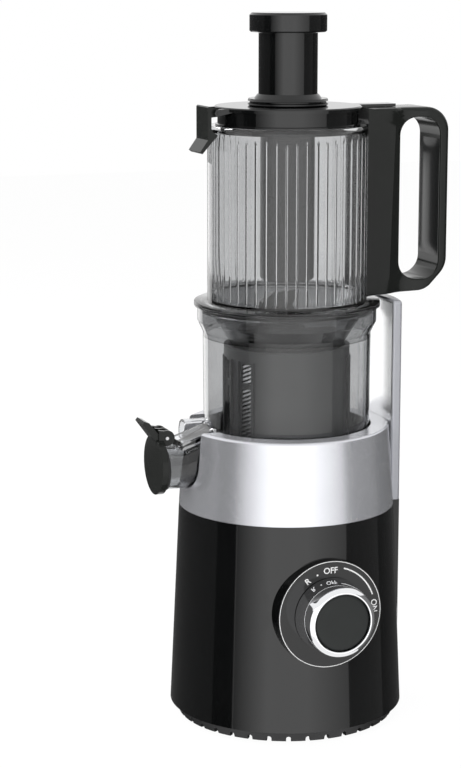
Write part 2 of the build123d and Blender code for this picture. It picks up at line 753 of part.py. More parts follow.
with BuildPart() as drive_shaft:
    ring(shaft_radius, 0, gear_level_2 + 0.8, shaft_shoulder)
    with BuildSketch(Plane.XY.offset(shaft_shoulder)) as hexagon:
        RegularPolygon(hex_across_flats / 2, 6, major_radius=False)
    extrude(hexagon.sketch, amount=shaft_top - shaft_shoulder)
    chamfer(drive_shaft.edges().group_by(Axis.Z)[-1], 1.0)
save(drive_shaft.part, "drive_shaft")

# ---------------------------------------------------------------- juice bowl
def cup_outline(inset, bottom):
    """The bowl's straight wall up to the collar, closed along the drive axis."""
    return ((0, bottom), (bowl_radius - inset, bottom), (bowl_deck_radius - inset, deck_height),
            (bowl_cut_radius - inset, collar_foot), (0, collar_foot))


def collar_outline(inset):
    """The wider collar above the straight wall, closed along the drive axis."""
    return ((0, collar_foot), (bowl_cut_radius - inset, collar_foot),
            (bowl_shoulder_radius - inset, bowl_shoulder),
            (collar_radius - inset, collar_bottom), (collar_radius - inset, flange_top), (0, flange_top))


pulp_root = strainer_radius - 2.0      # inner end of the pulp outlet, inside the bowl wall's round
with BuildPart() as spout_channel:
    # sloping covered channel from the bowl wall to the round nozzle
    with BuildSketch(Plane.YZ.offset(-(bowl_deck_radius - 6))) as root_section:
        with Locations((0, (bowl_floor_top + channel_top) / 2)):
            RectangleRounded(channel_width, channel_top - bowl_floor_top, 12)
    with BuildSketch(Plane.YZ.offset(-nozzle_start)) as end_section:
        with Locations((0, nozzle_height)):
            Circle(nozzle_radius)
    loft([root_section.sketch, end_section.sketch])
    with BuildSketch(Plane.YZ.offset(-nozzle_start)) as nozzle_section:
        with Locations((0, nozzle_height)):
            Circle(nozzle_radius)
    extrude(nozzle_section.sketch, amount=-nozzle_length)
    roof_end = nozzle_start + roof_overlap
    with BuildSketch(Plane.XZ) as roof:
        with BuildLine():
            Polyline((-(bowl_deck_radius - 6), channel_top + roof_rise),
                     (-(bowl_deck_radius - 6), channel_top + roof_rise - roof_thickness),
                     (-roof_end, nozzle_top + roof_rise - roof_thickness),
                     (-roof_end, nozzle_top + roof_rise), close=True)
        make_face()
    extrude(roof.sketch, amount=roof_width / 2, both=True)
    # pulp outlet beside it
    with BuildSketch(Plane.YZ.offset(-pulp_end)) as pulp_section:
        with Locations((pulp_y, pulp_height)):
            Circle(pulp_radius)
    extrude(pulp_section.sketch, amount=pulp_end - pulp_root)

with BuildPart() as spout_bore:
    with BuildSketch(Plane.YZ.offset(-(bowl_deck_radius - 6))) as root_bore:
        with Locations((0, (bowl_floor_top + channel_top) / 2)):
            RectangleRounded(channel_width - 2 * spout_wall,
                             channel_top - bowl_floor_top - 2 * spout_wall, 10)
    with BuildSketch(Plane.YZ.offset(-nozzle_start)) as end_bore:
        with Locations((0, nozzle_height)):
            Circle(nozzle_radius - spout_wall)
    loft([root_bore.sketch, end_bore.sketch])
    with BuildSketch(Plane.YZ.offset(-nozzle_start)) as nozzle_bore:
        with Locations((0, nozzle_height)):
            Circle(nozzle_radius - spout_wall)
    extrude(nozzle_bore.sketch, amount=-(nozzle_length + 1))
    with BuildSketch(Plane.YZ.offset(-(pulp_end + 1))) as pulp_bore:
        with Locations((pulp_y, pulp_height)):
            Circle(pulp_bore_radius)
    extrude(pulp_bore.sketch, amount=pulp_end + 1 - pulp_root)

with BuildPart() as juice_bowl:
    turn(*cup_outline(0, bowl_bottom))
    turn(*cup_outline(bowl_wall, bowl_floor_top), mode=Mode.SUBTRACT)
    add(spout_bore.part, mode=Mode.SUBTRACT)
    # hub that stands over the seat's raised collar, with the hole for the drive shaft
    ring(hub_radius, 0, bowl_bottom, bowl_bottom + hub_height)
    ring(hub_inner_radius, 0, bowl_bottom - 1, collar_top + seat_gap + slide_gap, mode=Mode.SUBTRACT)
    ring(bowl_hole_radius, 0, bowl_bottom, bowl_bottom + hub_height + 1, mode=Mode.SUBTRACT)
save(juice_bowl.part, "juice_bowl")

# the wider collar and flange, moulded on above the straight wall
with BuildPart() as bowl_collar:
    turn(*collar_outline(0))
    ring(flange_radius, 0, flange_bottom, flange_top)
    for rounded in (flange_bottom, flange_top):
        fillet(circles(bowl_collar, flange_radius, rounded), edge_round)
    fillet(circles(bowl_collar, collar_radius, collar_bottom), 2 * edge_round)
    turn(*collar_outline(bowl_wall), mode=Mode.SUBTRACT)
save(bowl_collar.part, "bowl_collar")

# the two outlets, moulded on outside the wall
with BuildPart() as outlets:
    add(spout_channel.part)
    turn(*cup_outline(0, bowl_bottom), mode=Mode.SUBTRACT)
    add(spout_bore.part, mode=Mode.SUBTRACT)
outlet_solids = outlets.part.solids().sort_by(Axis.Y)

with BuildPart() as bowl_spout:
    add(outlet_solids[0])
    # two ears that hold the spout cap's pin
    for ear_y in (-4.2, 4.2):
        with BuildSketch(Plane.XZ.offset(-ear_y)) as ear:
            with BuildLine():
                Polyline((-nozzle_end + 0.9, nozzle_top - 1.5), (-cap_pin_x - 1.8, cap_pin_z - 1.4),
                         (-cap_pin_x + 1.8, cap_pin_z + 1.4), (-nozzle_end + 7.0, nozzle_top - 1.5),
                         close=True)
            make_face()
            with Locations((-cap_pin_x, cap_pin_z)):
                Circle(2.3)
        extrude(ear.sketch, amount=1.2, both=True)
    with BuildSketch(Plane.XZ) as pin_hole:
        with Locations((-cap_pin_x, cap_pin_z)):
            Circle(pin_hole_radius)
    extrude(pin_hole.sketch, amount=20, both=True, mode=Mode.SUBTRACT)
save(bowl_spout.part, "bowl_spout")

with BuildPart() as pulp_outlet:
    add(outlet_solids[-1])
save(pulp_outlet.part, "pulp_outlet")

with BuildPart() as bowl_seal:
    ring(bowl_hole_radius - press_gap, shaft_radius + 2 * running_gap, bowl_bottom + hub_height - 2.4,
         bowl_bottom + hub_height)
save(bowl_seal.part, "bowl_seal")

with BuildPart() as pulp_plug:
    with BuildSketch(Plane.YZ.offset(-pulp_root - 2 * plug_length)) as plug:
        with Locations((pulp_y, pulp_height)):
            Circle(pulp_bore_radius - press_gap)
            Circle(plug_bore, mode=Mode.SUBTRACT)
    extrude(plug.sketch, amount=-plug_length)
save(pulp_plug.part, "pulp_plug")

with BuildPart() as spout_cap_pin:
    with BuildSketch(Plane.XZ) as pin:
        with Locations((-cap_pin_x, cap_pin_z)):
            Circle(hinge_pin_radius)
    extrude(pin.sketch, amount=10.5, both=True)
save(spout_cap_pin.part, "spout_cap_pin")

with BuildPart() as spout_cap:
    with BuildSketch(Plane.YZ.offset(-cap_outer_x)) as disc:
        with Locations((0, cap_disc_z)):
            Circle(cap_disc_radius)
        with Locations((0, (cap_disc_z + cap_neck_top) / 2)):
            Rectangle(17, cap_neck_top - cap_disc_z)
    extrude(disc.sketch, amount=cap_outer_x - cap_inner_x)
    # thumb lever, slanting outwards from the top of the disc
    with BuildSketch(Plane.XZ) as lever:
        with BuildLine():
            Polyline((-cap_outer_x + 1.0, cap_pin_z - 4.5), (-cap_outer_x - 10.5, cap_pin_z + 11.0),
                     (-cap_outer_x - 9.0, cap_pin_z + 12.9), (-cap_outer_x - 5.5, cap_pin_z + 11.5),
                     (-cap_outer_x + 3.6, cap_pin_z), close=True)
        make_face()
    extrude(lever.sketch, amount=8.5, both=True)
    # three claws that wrap round the hinge pin
    for claw_y in (-8.4, 0.0, 8.4):
        with BuildSketch(Plane.XZ.offset(-claw_y)) as claw:
            with Locations((-cap_pin_x, cap_pin_z)):
                Circle(claw_radius)
            with BuildLine():
                Polyline((-cap_inner_x - 2.0, cap_pin_z - 5.2), (-cap_pin_x, cap_pin_z - 3.0),
                         (-cap_pin_x, cap_pin_z + 5.0), (-cap_inner_x - 3.4, cap_pin_z + 5.9),
                         (-cap_inner_x - 3.4, cap_pin_z - 5.2), close=True)
            make_face()
            with Locations((-cap_pin_x, cap_pin_z)):
                Circle(pin_hole_radius, mode=Mode.SUBTRACT)
        extrude(claw.sketch, amount=1.5, both=True)
save(spout_cap.part, "spout_cap")

with BuildPart() as spout_cap_seal:
    with BuildSketch(Plane.YZ.offset(-cap_inner_x)) as seal:
        with Locations((0, nozzle_height)):
            Circle(nozzle_radius + 0.5)
    extrude(seal.sketch, amount=cap_inner_x - nozzle_end - seat_gap)
save(spout_cap_seal.part, "spout_cap_seal")

# ---------------------------------------------------------------- strainer and auger
window_angles = (152, 180, 208, -28, 0, 28)
window_half = 4.6
window_low = strainer_bottom + 8
window_split = strainer_bottom + 67.4
ring_foot = strainer_top - strainer_ring
window_high = ring_foot - 2
with BuildPart() as strainer_frame:
    turn((hub_radius + slide_gap, strainer_bottom), (strainer_radius, strainer_bottom),
         (strainer_radius, ring_foot), (strainer_radius + strainer_ring_step, ring_foot),
         (strainer_radius + strainer_ring_step, strainer_top),
         (strainer_radius - strainer_wall, strainer_top),
         (strainer_radius - strainer_wall, strainer_bottom + 2.4),
         (hub_radius + slide_gap, strainer_bottom + 2.4))
    for low, high in ((window_low, window_split - 2), (window_split + 2, window_high)):
        for angle in window_angles:
            with BuildSketch(Plane.XY.offset(low).rotated((0, 0, angle))) as window:
                with Locations((strainer_radius, 0)):
                    Rectangle(12, 2 * window_half)
            extrude(window.sketch, amount=high - low, mode=Mode.SUBTRACT)
    # outer ribs beside the windows, reaching to the bowl wall at their feet
    for angle in window_angles:
        for side in (-1, 1):
            with BuildSketch(Plane.XY.offset(strainer_bottom).rotated((0, 0, angle + side * 8.5))) as rib:
                with Locations((strainer_radius + 0.9, 0)):
                    Rectangle(2.4, 1.4)
            extrude(rib.sketch, amount=ring_foot - strainer_bottom)
save(strainer_frame.part, "strainer_frame")

with BuildPart() as strainer_mesh:
    screen_radius = strainer_radius - 1.4
    for low, high in ((window_low, window_split - 2), (window_split + 2, window_high)):
        for angle in window_angles:
            with BuildSketch(Plane.XY.offset(low).rotated((0, 0, angle))) as screen:
                with Locations((screen_radius, 0)):
                    Rectangle(screen_thickness, 2 * window_half - 0.04)
            extrude(screen.sketch, amount=high - low)
save(strainer_mesh.part, "strainer_mesh")

def flight(radius, bottom, height, phase):
    """Two opposite helical flights as one twisted solid."""
    with BuildSketch(Plane.XY.offset(bottom)) as lobes:
        Circle(9)
        for turn_by in (0, 180):
            a0 = radians(turn_by + phase - auger_lobe / 2)
            a1 = radians(turn_by + phase + auger_lobe / 2)
            mid = radians(turn_by + phase)
            with BuildLine():
                Line((0, 0), (radius * cos(a0), radius * sin(a0)))
                ThreePointArc((radius * cos(a0), radius * sin(a0)),
                              (radius * cos(mid), radius * sin(mid)),
                              (radius * cos(a1), radius * sin(a1)))
                Line((radius * cos(a1), radius * sin(a1)), (0, 0))
            make_face()
    return Solid.extrude_linear_with_rotation(lobes.sketch.face(), center=(0, 0, bottom),
                                              normal=(0, 0, height),
                                              angle=360.0 * height / auger_pitch)


lower_flight = flight(auger_radius, flight_low, flight_high - flight_low, 0)
upper_phase = 360.0 * (flight_high - flight_low) / auger_pitch
upper_flight = flight(auger_neck_radius, flight_high, auger_top - flight_high - 2, upper_phase)

socket_top = shaft_top + 4.6
with BuildPart() as auger:
    turn((0, auger_bottom + 4.4), (hub_radius + 3, auger_bottom + 4.4), (hub_radius + 3, auger_bottom),
         (auger_radius, auger_bottom), (auger_radius, flight_low), (34, flight_low + 6),
         (22, flight_low + 44),
         (16, flight_high - 13), (13, auger_top), (0, auger_top))
    add(lower_flight)
    add(upper_flight)
    ring(11, 0, auger_bottom, auger_bottom + 6)
    # foot of the feed wing
    with BuildSketch(Plane.XZ) as wing:
        with BuildLine():
            Polyline((-5, auger_top - 12), (-24, auger_top - 6), (-20, auger_top + 13),
                     (-12, auger_top + 20), (8, auger_top + 22), (3, auger_top + 9),
                     (10, auger_top - 2), close=True)
        make_face()
    feed_wing = extrude(wing.sketch, amount=3.0, both=True, mode=Mode.PRIVATE)
    wing_root = feed_wing.split(Plane.XY.offset(auger_top), keep=Keep.BOTTOM)
    wing_blade = feed_wing.split(Plane.XY.offset(auger_top), keep=Keep.TOP)
    add(wing_root)
    ring(socket_radius, 0, auger_bottom - 1, socket_top, mode=Mode.SUBTRACT)
save(auger.part, "auger")

# the wing's blade stands up above the flights and draws the food in
with BuildPart() as auger_wing:
    add(wing_blade)
save(auger_wing.part, "auger_wing")

with BuildPart() as auger_socket:
    ring(socket_radius - press_gap, 0, auger_bottom, socket_top)
    ring(shaft_radius + 0.3, 0, auger_bottom - 1, shaft_shoulder + 1.0, mode=Mode.SUBTRACT)
    with BuildSketch(Plane.XY.offset(shaft_shoulder)) as socket:
        RegularPolygon(socket_across_flats / 2, 6, major_radius=False)
    extrude(socket.sketch, amount=hex_length + 0.8, mode=Mode.SUBTRACT)
save(auger_socket.part, "auger_socket")

# ---------------------------------------------------------------- hopper and handle
skirt = collar_radius - bowl_wall - slide_gap
hopper_step = hopper_radius - hopper_wall - 1.0     # narrower bore below the hopper's floor line
with BuildPart() as hopper:
    turn((hopper_step, hopper_flange_top), (hopper_radius, hopper_flange_top),
         (hopper_radius, hopper_shoulder - 2.0), (hopper_radius - 2.0, hopper_shoulder),
         (mouth_radius, hopper_shoulder), (mouth_radius, hopper_shoulder - 2.0),
         (hopper_radius - hopper_wall, hopper_shoulder - 4.5), (hopper_radius - hopper_wall, hopper_floor),
         (hopper_step, hopper_floor - 1.0))
save(hopper.part, "hopper")

# flange, skirt and funnel, moulded on below the wall
with BuildPart() as hopper_foot_ring:
    turn((neck_radius - neck_wall, neck_bottom), (neck_radius, neck_bottom),
         (neck_radius + 0.4, neck_bottom + 1.5),
         (skirt - 5.0, hopper_foot - 4.0), (skirt - 1.9, hopper_foot - 6.0), (skirt, hopper_foot - 6.0),
         (skirt, hopper_foot), (flange_radius, hopper_foot), (flange_radius, hopper_flange_top),
         (hopper_step, hopper_flange_top))
    fillet(circles(hopper_foot_ring, flange_radius, hopper_flange_top), edge_round)
    fillet(circles(hopper_foot_ring, flange_radius, hopper_foot), edge_round)
save(hopper_foot_ring.part, "hopper_funnel")

with BuildPart() as hopper_seal:
    seal_z = hopper_foot - 4.6
    ring(skirt + slide_gap - 0.1, skirt + 0.02, seal_z, seal_z + 2.0)
save(hopper_seal.part, "hopper_seal")


def handle_profile():
    """Side view of the hopper handle: mount, two arms and grip round the hand opening."""
    left = hopper_radius - 6
    with BuildSketch(Plane.XZ) as side:
        with BuildLine():
            Polyline((left, handle_bottom), (handle_reach - 17, handle_bottom + 2.2),
                     (handle_reach, handle_bottom + 19), (handle_reach, handle_top),
                     (left, handle_top), close=True)
        make_face()
        fillet(side.vertices().filter_by(lambda v: v.X > handle_reach - 30), handle_corner)
        with Locations(((opening_left + handle_reach - grip_thickness) / 2, opening_middle)):
            RectangleRounded(handle_reach - grip_thickness - opening_left, opening_top - opening_bottom,
                             opening_corner, mode=Mode.SUBTRACT)
    return side.sketch


magnet_top = handle_bottom + 5.6
with BuildPart() as hopper_handle:
    extrude(handle_profile(), amount=handle_half_width, both=True)
    side_faces = (hopper_handle.faces().sort_by(Axis.Y)[0], hopper_handle.faces().sort_by(Axis.Y)[-1])
    fillet(side_faces[0].outer_wire().edges() + side_faces[1].outer_wire().edges(), 2.0)
    ring(hopper_radius + fit_gap, 0, handle_bottom - 5, handle_top + 5, mode=Mode.SUBTRACT)
    # shallow seat for the soft insert on the inner face of the grip
    with Locations((handle_reach - grip_thickness + insert_depth / 2, 0, opening_middle)):
        Box(insert_depth, 2 * insert_half, opening_top - opening_bottom - 2 * insert_ends,
            mode=Mode.SUBTRACT)
    # blind seat for the magnet, above the column
    ring(magnet_radius + press_gap, 0, handle_bottom - 3, magnet_top, at=(magnet_x, 0), mode=Mode.SUBTRACT)
save(hopper_handle.part, "hopper_handle")

with BuildPart() as grip_insert:
    with BuildSketch(Plane.XY.offset(opening_bottom + insert_ends + 0.1)) as pad:
        with Locations((handle_reach - grip_thickness, 0)):
            Rectangle(2 * insert_depth, 2 * insert_half - 0.2)
    extrude(pad.sketch, amount=opening_top - opening_bottom - 2 * insert_ends - 0.2)
    fillet(grip_insert.edges().filter_by(Axis.Z).group_by(Axis.X)[0], 1.8)
save(grip_insert.part, "grip_insert")

with BuildPart() as handle_magnet:
    ring(magnet_radius, 0, magnet_top - magnet_height, magnet_top, at=(magnet_x, 0))
save(handle_magnet.part, "handle_magnet")

# ---------------------------------------------------------------- lid, latch and pusher
with BuildPart() as lid:
    turn((0, lid_lip_bottom), (lid_radius - 2, lid_lip_bottom), (lid_radius - 2, lid_skirt_bottom),
         (lid_radius, lid_skirt_bottom), (lid_radius, hopper_shoulder + seat_gap),
         (lid_radius + 1.6, hopper_shoulder + seat_gap), (lid_radius + 1.6, hopper_shoulder + 1.2),
         (lid_radius, hopper_shoulder + 1.6), (lid_radius, lid_lip_bottom),
         (lid_lip_radius, lid_lip_bottom),
         (lid_lip_radius, lid_top - 0.8), (lid_lip_radius - 0.8, lid_top), (0, lid_top))
    ring(tube_radius, 0, lid_lip_bottom - 2, tube_top)
    ring(tube_radius - tube_wall, 0, lid_lip_bottom - 3, tube_top + 1, mode=Mode.SUBTRACT)
    # ear that lies over the top of the handle mount
    with BuildSketch(Plane.XY.offset(handle_top + seat_gap)) as ear:
        with Locations((lid_lip_radius + 12, 0)):
            Rectangle(32, 14)
    extrude(ear.sketch, amount=lid_top - handle_top - seat_gap - 0.2)
    # two lugs that carry the latch pin
    for lug_y in (-lid_latch_half - 1.9, lid_latch_half + 1.9):
        with BuildSketch(Plane.XZ.offset(-lug_y)) as lug:
            with BuildLine():
                Polyline((-lid_radius + 4, lid_lip_bottom), (-latch_pin_x - 1.8, latch_pin_z - 2.4),
                         (-latch_pin_x - 3.0, latch_pin_z), (-latch_pin_x - 1.8, lid_top - 1.0),
                         (-lid_radius + 4, lid_top - 0.4), close=True)
            make_face()
        extrude(lug.sketch, amount=1.5, both=True)
    with BuildSketch(Plane.XZ) as pin_bore:
        with Locations((-latch_pin_x, latch_pin_z)):
            Circle(pin_hole_radius)
    extrude(pin_bore.sketch, amount=lid_latch_half + 6, both=True, mode=Mode.SUBTRACT)
save(lid.part, "lid")

with BuildPart() as chute_ring:
    inner = tube_radius + fit_gap
    turn((inner, lid_top), (chute_ring_radius - 1.2, lid_top), (chute_ring_radius, lid_top + 0.8),
         (chute_ring_radius, lid_top + 1.8), (chute_ring_radius - 1.4, lid_top + 2.4),
         (chute_ring_radius - 1.4, lid_top + 2.9), (chute_ring_radius, lid_top + 3.4),
         (chute_ring_radius - 0.6, chute_ring_top), (inner + 3, chute_ring_top),
         (inner + 0.6, chute_ring_top + 3),
         (inner, chute_ring_top + 3))
save(chute_ring.part, "chute_ring")

with BuildPart() as latch_pin:
    with BuildSketch(Plane.XZ) as rod:
        with Locations((-latch_pin_x, latch_pin_z)):
            Circle(hinge_pin_radius)
    extrude(rod.sketch, amount=lid_latch_half + 3.6, both=True)
save(latch_pin.part, "latch_pin")

with BuildPart() as lid_latch:
    with BuildSketch(Plane.XZ) as hook:
        with BuildLine():
            Polyline((-latch_pin_x + 2.4, latch_pin_z + 2.4), (-plate_x - 1.6, latch_pin_z + 4.6),
                     (-plate_x - 2.6, latch_pin_z + 3.8), (-plate_x - 2.6, latch_pin_z - 18.5),
                     (-plate_x - 8.4, latch_pin_z - 26.6), (-plate_x - 6.6, latch_pin_z - 28.0),
                     (-plate_x, latch_pin_z - 20.5), (-latch_pin_x, latch_pin_z - 16.5),
                     (-latch_pin_x, latch_pin_z - 15.0), (-plate_x, latch_pin_z - 12.5),
                     (-plate_x, latch_pin_z - 3.0), (-latch_pin_x + 2.4, latch_pin_z - 2.4), close=True)
        make_face()
        with Locations((-latch_pin_x, latch_pin_z)):
            Circle(pin_hole_radius, mode=Mode.SUBTRACT)
    extrude(hook.sketch, amount=lid_latch_half, both=True)
save(lid_latch.part, "lid_latch")

with BuildPart() as pusher:
    turn((0, pusher_bottom), (pusher_radius - 2, pusher_bottom), (pusher_radius, pusher_bottom + 2),
         (pusher_radius, cap_bottom + 6), (pusher_radius - pusher_wall, cap_bottom + 6),
         (pusher_radius - pusher_wall, pusher_bottom + 2.5), (0, pusher_bottom + 2.5))
save(pusher.part, "pusher")

with BuildPart() as pusher_cap:
    socket_roof = cap_bottom + 6.0 + running_gap
    turn((0, socket_roof), (pusher_radius + running_gap, socket_roof),
         (pusher_radius + running_gap, cap_bottom),
         (cap_radius - 0.8, cap_bottom), (cap_radius, cap_bottom + 0.8), (cap_radius, cap_top - 1.6),
         (cap_radius - 1.6, cap_top), (0, cap_top))
save(pusher_cap.part, "pusher_cap")
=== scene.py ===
import math
import bmesh
import bpy
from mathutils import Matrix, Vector


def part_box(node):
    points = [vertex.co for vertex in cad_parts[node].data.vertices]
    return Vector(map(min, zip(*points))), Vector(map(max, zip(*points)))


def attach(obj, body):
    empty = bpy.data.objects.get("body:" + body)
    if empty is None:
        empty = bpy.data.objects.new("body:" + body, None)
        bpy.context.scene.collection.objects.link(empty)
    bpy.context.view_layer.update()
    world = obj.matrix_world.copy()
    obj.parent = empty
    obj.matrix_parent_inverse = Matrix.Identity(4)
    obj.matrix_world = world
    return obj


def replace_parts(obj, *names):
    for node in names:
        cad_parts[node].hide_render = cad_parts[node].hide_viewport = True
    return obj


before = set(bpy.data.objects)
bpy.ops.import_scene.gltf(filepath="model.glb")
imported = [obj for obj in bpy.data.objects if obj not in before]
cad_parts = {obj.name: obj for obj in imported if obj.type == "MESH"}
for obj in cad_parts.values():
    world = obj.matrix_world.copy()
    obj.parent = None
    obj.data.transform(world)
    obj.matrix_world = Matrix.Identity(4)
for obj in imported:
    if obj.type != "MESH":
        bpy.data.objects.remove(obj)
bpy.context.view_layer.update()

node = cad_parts

# ------------------------------------------------------------------ rubber feet and seals
# Four round pads and a thin middle one under the floor plate, glued in shallow seats, and the lip
# seals and plug of the shaft, bowl, spout and hopper.  All are moulded in black rubber.


def moulded(name, colour, roughness, grain=900.0, bump=0.02, mottle=0.12, coat=0.0):
    """Plastic or rubber from a mould: faint uneven colour, and a grain that breaks up the gloss."""
    finish = bpy.data.materials.new(name)
    finish.use_nodes = True
    nodes, links = finish.node_tree.nodes, finish.node_tree.links
    shader = nodes["Principled BSDF"]
    place = nodes.new("ShaderNodeTexCoord")
    cloud = nodes.new("ShaderNodeTexNoise")
    cloud.inputs["Scale"].default_value = 22.0
    cloud.inputs["Detail"].default_value = 3.0
    links.new(place.outputs["Object"], cloud.inputs["Vector"])
    tone = nodes.new("ShaderNodeValToRGB")
    tone.color_ramp.elements[0].position = 0.3
    tone.color_ramp.elements[1].position = 0.7
    tone.color_ramp.elements[0].color = (*[c * (1 - mottle) for c in colour], 1)
    tone.color_ramp.elements[1].color = (*[min(1, c * (1 + mottle)) for c in colour], 1)
    links.new(cloud.outputs["Fac"], tone.inputs["Fac"])
    links.new(tone.outputs["Color"], shader.inputs["Base Color"])
    skin = nodes.new("ShaderNodeTexNoise")
    skin.inputs["Scale"].default_value = grain
    skin.inputs["Detail"].default_value = 2.0
    links.new(place.outputs["Object"], skin.inputs["Vector"])
    gloss = nodes.new("ShaderNodeMapRange")
    gloss.inputs["To Min"].default_value = roughness * 0.85
    gloss.inputs["To Max"].default_value = min(1.0, roughness * 1.15)
    links.new(skin.outputs["Fac"], gloss.inputs["Value"])
    links.new(gloss.outputs["Result"], shader.inputs["Roughness"])
    lift = nodes.new("ShaderNodeBump")
    lift.inputs["Strength"].default_value = bump
    lift.inputs["Distance"].default_value = 0.0004
    links.new(skin.outputs["Fac"], lift.inputs["Height"])
    links.new(lift.outputs["Normal"], shader.inputs["Normal"])
    shader.inputs["Coat Weight"].default_value = coat
    shader.inputs["Coat Roughness"].default_value = 0.04
    return finish


def dress(finish, *names):
    """Puts a finish on pieces that keep their shape."""
    for name in names:
        node[name].data.materials.clear()
        node[name].data.materials.append(finish)


dress(moulded("black_rubber", (0.022, 0.022, 0.023), 0.75, bump=0.25),
      "rubber_feet", "shaft_seal", "bowl_seal", "pulp_plug", "spout_cap_seal", "hopper_seal")

# ------------------------------------------------------------------ floor plate
# One black moulding with the vented ring, the cooling slots and the three screw posts.  The cord
# gland, bowl seat, selector switch and latch pin are the same plastic.
dress(moulded("floor_plastic", (0.012, 0.012, 0.013), 0.42, bump=0.1),
      "base_plate", "cord_gland", "gland_nut", "bowl_seat", "selector_switch", "latch_pin")

# ------------------------------------------------------------------ screws and pin
# Flat-headed steel screws that close the floor plate, the motor and the gear chamber, and the steel
# pin that the spout's cap turns on.


def metal(name, colour, roughness, grain=700.0, bump=0.03, mottle=0.08, coat=0.0, share=1.0):
    """Bare, plated or metal-flake painted surface; share is how much of it is metal."""
    finish = moulded(name, colour, roughness, grain=grain, bump=bump, mottle=mottle, coat=coat)
    finish.node_tree.nodes["Principled BSDF"].inputs["Metallic"].default_value = share
    return finish


dress(metal("screw_steel", (0.5, 0.5, 0.51), 0.3),
      "base_screws", "motor_screws", "housing_screws", "spout_cap_pin")

# ------------------------------------------------------------------ motor
# A zinc-plated can on a chassis plate of the same sheet, with ferrite magnets, a pressed iron
# rotor, sintered bronze bushes and a glass-filled nylon fan.
zinc_plate = metal("zinc_plate", (0.46, 0.47, 0.45), 0.38, grain=260.0, mottle=0.14)
turned_steel = metal("turned_steel", (0.52, 0.52, 0.53), 0.24)
bronze = metal("bronze", (0.45, 0.3, 0.15), 0.35)
gear_nylon = moulded("gear_nylon", (0.62, 0.6, 0.54), 0.45)
ferrite = moulded("ferrite", (0.05, 0.05, 0.055), 0.7)
dress(zinc_plate, "motor_can", "chassis_plate")
dress(turned_steel, "motor_rotor", "motor_pinion")
dress(bronze, "motor_bushes")
dress(gear_nylon, "cooling_fan")
dress(ferrite, "motor_magnets", "handle_magnet")

# ------------------------------------------------------------------ gears and shafts
# Two reduction stages in a nylon chamber above the motor.  The output shaft drives the auger's
# steel socket, and the knob's spindle is turned from the same bar.
dress(gear_nylon, "reduction_wheel", "gear_housing")
dress(bronze, "drive_bushes")
dress(turned_steel, "countershaft", "output_gear", "drive_shaft", "knob_spindle", "auger_socket")

# ------------------------------------------------------------------ circuit boards
# A glass-fibre board behind the dial, with plain blocks for its parts, and a small one in the
# column for the sensor.  Both are under green solder lacquer.
dress(moulded("circuit_green", (0.03, 0.12, 0.05), 0.4), "control_board", "interlock_sensor")

# ------------------------------------------------------------------ black shell and dial plate
# Deep black ABS with a polished surface: one tapered shell with the column's foot moulded on, and
# the round plate for the knob, set into its front.
gloss_black = moulded("gloss_black", (0.0035, 0.0037, 0.0038), 0.07,
                      grain=60.0, bump=0.0, mottle=0.1)
dress(gloss_black, "base_shell", "dial_plate")

# ------------------------------------------------------------------ silver band
# ABS sprayed with a fine silver metal-flake paint, under a satin lacquer.  The well in its top that
# the bowl stands in has the same paint.
dress(metal("silver_paint", (0.65, 0.655, 0.69), 0.26,
            grain=2600.0, bump=0.015, mottle=0.03, coat=0.2, share=0.74),
      "silver_band", "bowl_well")

# ------------------------------------------------------------------ rear column
# A hollow ABS cover over the column's foot.  Its flat face towards the bowl is painted near white
# and more metallic as a painted highlight, and the rest is painted darker than the band as painted
# shade.
column_painted_light = metal("column_painted_light", (0.38, 0.385, 0.415), 0.18,
                     grain=2600.0, bump=0.01, mottle=0.03, share=0.3)
paint_nodes, paint_links = column_painted_light.node_tree.nodes, column_painted_light.node_tree.links
paint_shader = paint_nodes["Principled BSDF"]
facing = paint_nodes.new("ShaderNodeNewGeometry")
facing_parts = paint_nodes.new("ShaderNodeSeparateXYZ")
# The flat face is picked by its normal: near white and more metal there is painted highlight, and
# the darker colour elsewhere is painted shade.
painted_highlight_mask = paint_nodes.new("ShaderNodeMapRange")
painted_highlight_mask.inputs["From Min"].default_value = -0.8
painted_highlight_mask.inputs["From Max"].default_value = -0.95
painted_light_shades = paint_nodes.new("ShaderNodeMixRGB")
painted_light_shades.inputs[2].default_value = (0.93, 0.935, 0.94, 1)
paint_links.new(facing.outputs["True Normal"], facing_parts.inputs[0])
paint_links.new(facing_parts.outputs["X"], painted_highlight_mask.inputs["Value"])
paint_links.new(painted_highlight_mask.outputs["Result"], painted_light_shades.inputs[0])
paint_links.new(paint_nodes["Color Ramp"].outputs["Color"], painted_light_shades.inputs[1])
paint_links.new(painted_light_shades.outputs["Color"], paint_shader.inputs["Base Color"])
metal_share = paint_nodes.new("ShaderNodeMapRange")
metal_share.inputs["To Min"].default_value = 0.3
metal_share.inputs["To Max"].default_value = 0.9
paint_links.new(painted_highlight_mask.outputs["Result"], metal_share.inputs["Value"])
paint_links.new(metal_share.outputs["Result"], paint_shader.inputs["Metallic"])
dress(column_painted_light, "column_cover")

# ------------------------------------------------------------------ dial
# The dial plate's face is printed in white: a thin ring near its edge, the settings R, OFF and ON,
# a dot between R and OFF and a curved bar for the speed.  The ink stands a little proud.
plate_low, plate_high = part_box("dial_plate")
dial_centre = (plate_low[0] + plate_high[0]) / 2, (plate_low[2] + plate_high[2]) / 2
dial_front = plate_low[1] - 0.00004
dial_edge = (plate_high[0] - plate_low[0]) / 2
white_ink = moulded("white_ink", (0.82, 0.82, 0.82), 0.45, mottle=0.04)


def on_dial(radius, clock):
    """A point on the dial's face, by its radius and its angle clockwise from the top."""
    turn = math.radians(clock)
    return (dial_centre[0] + radius * math.sin(turn), dial_front,
            dial_centre[1] + radius * math.cos(turn))


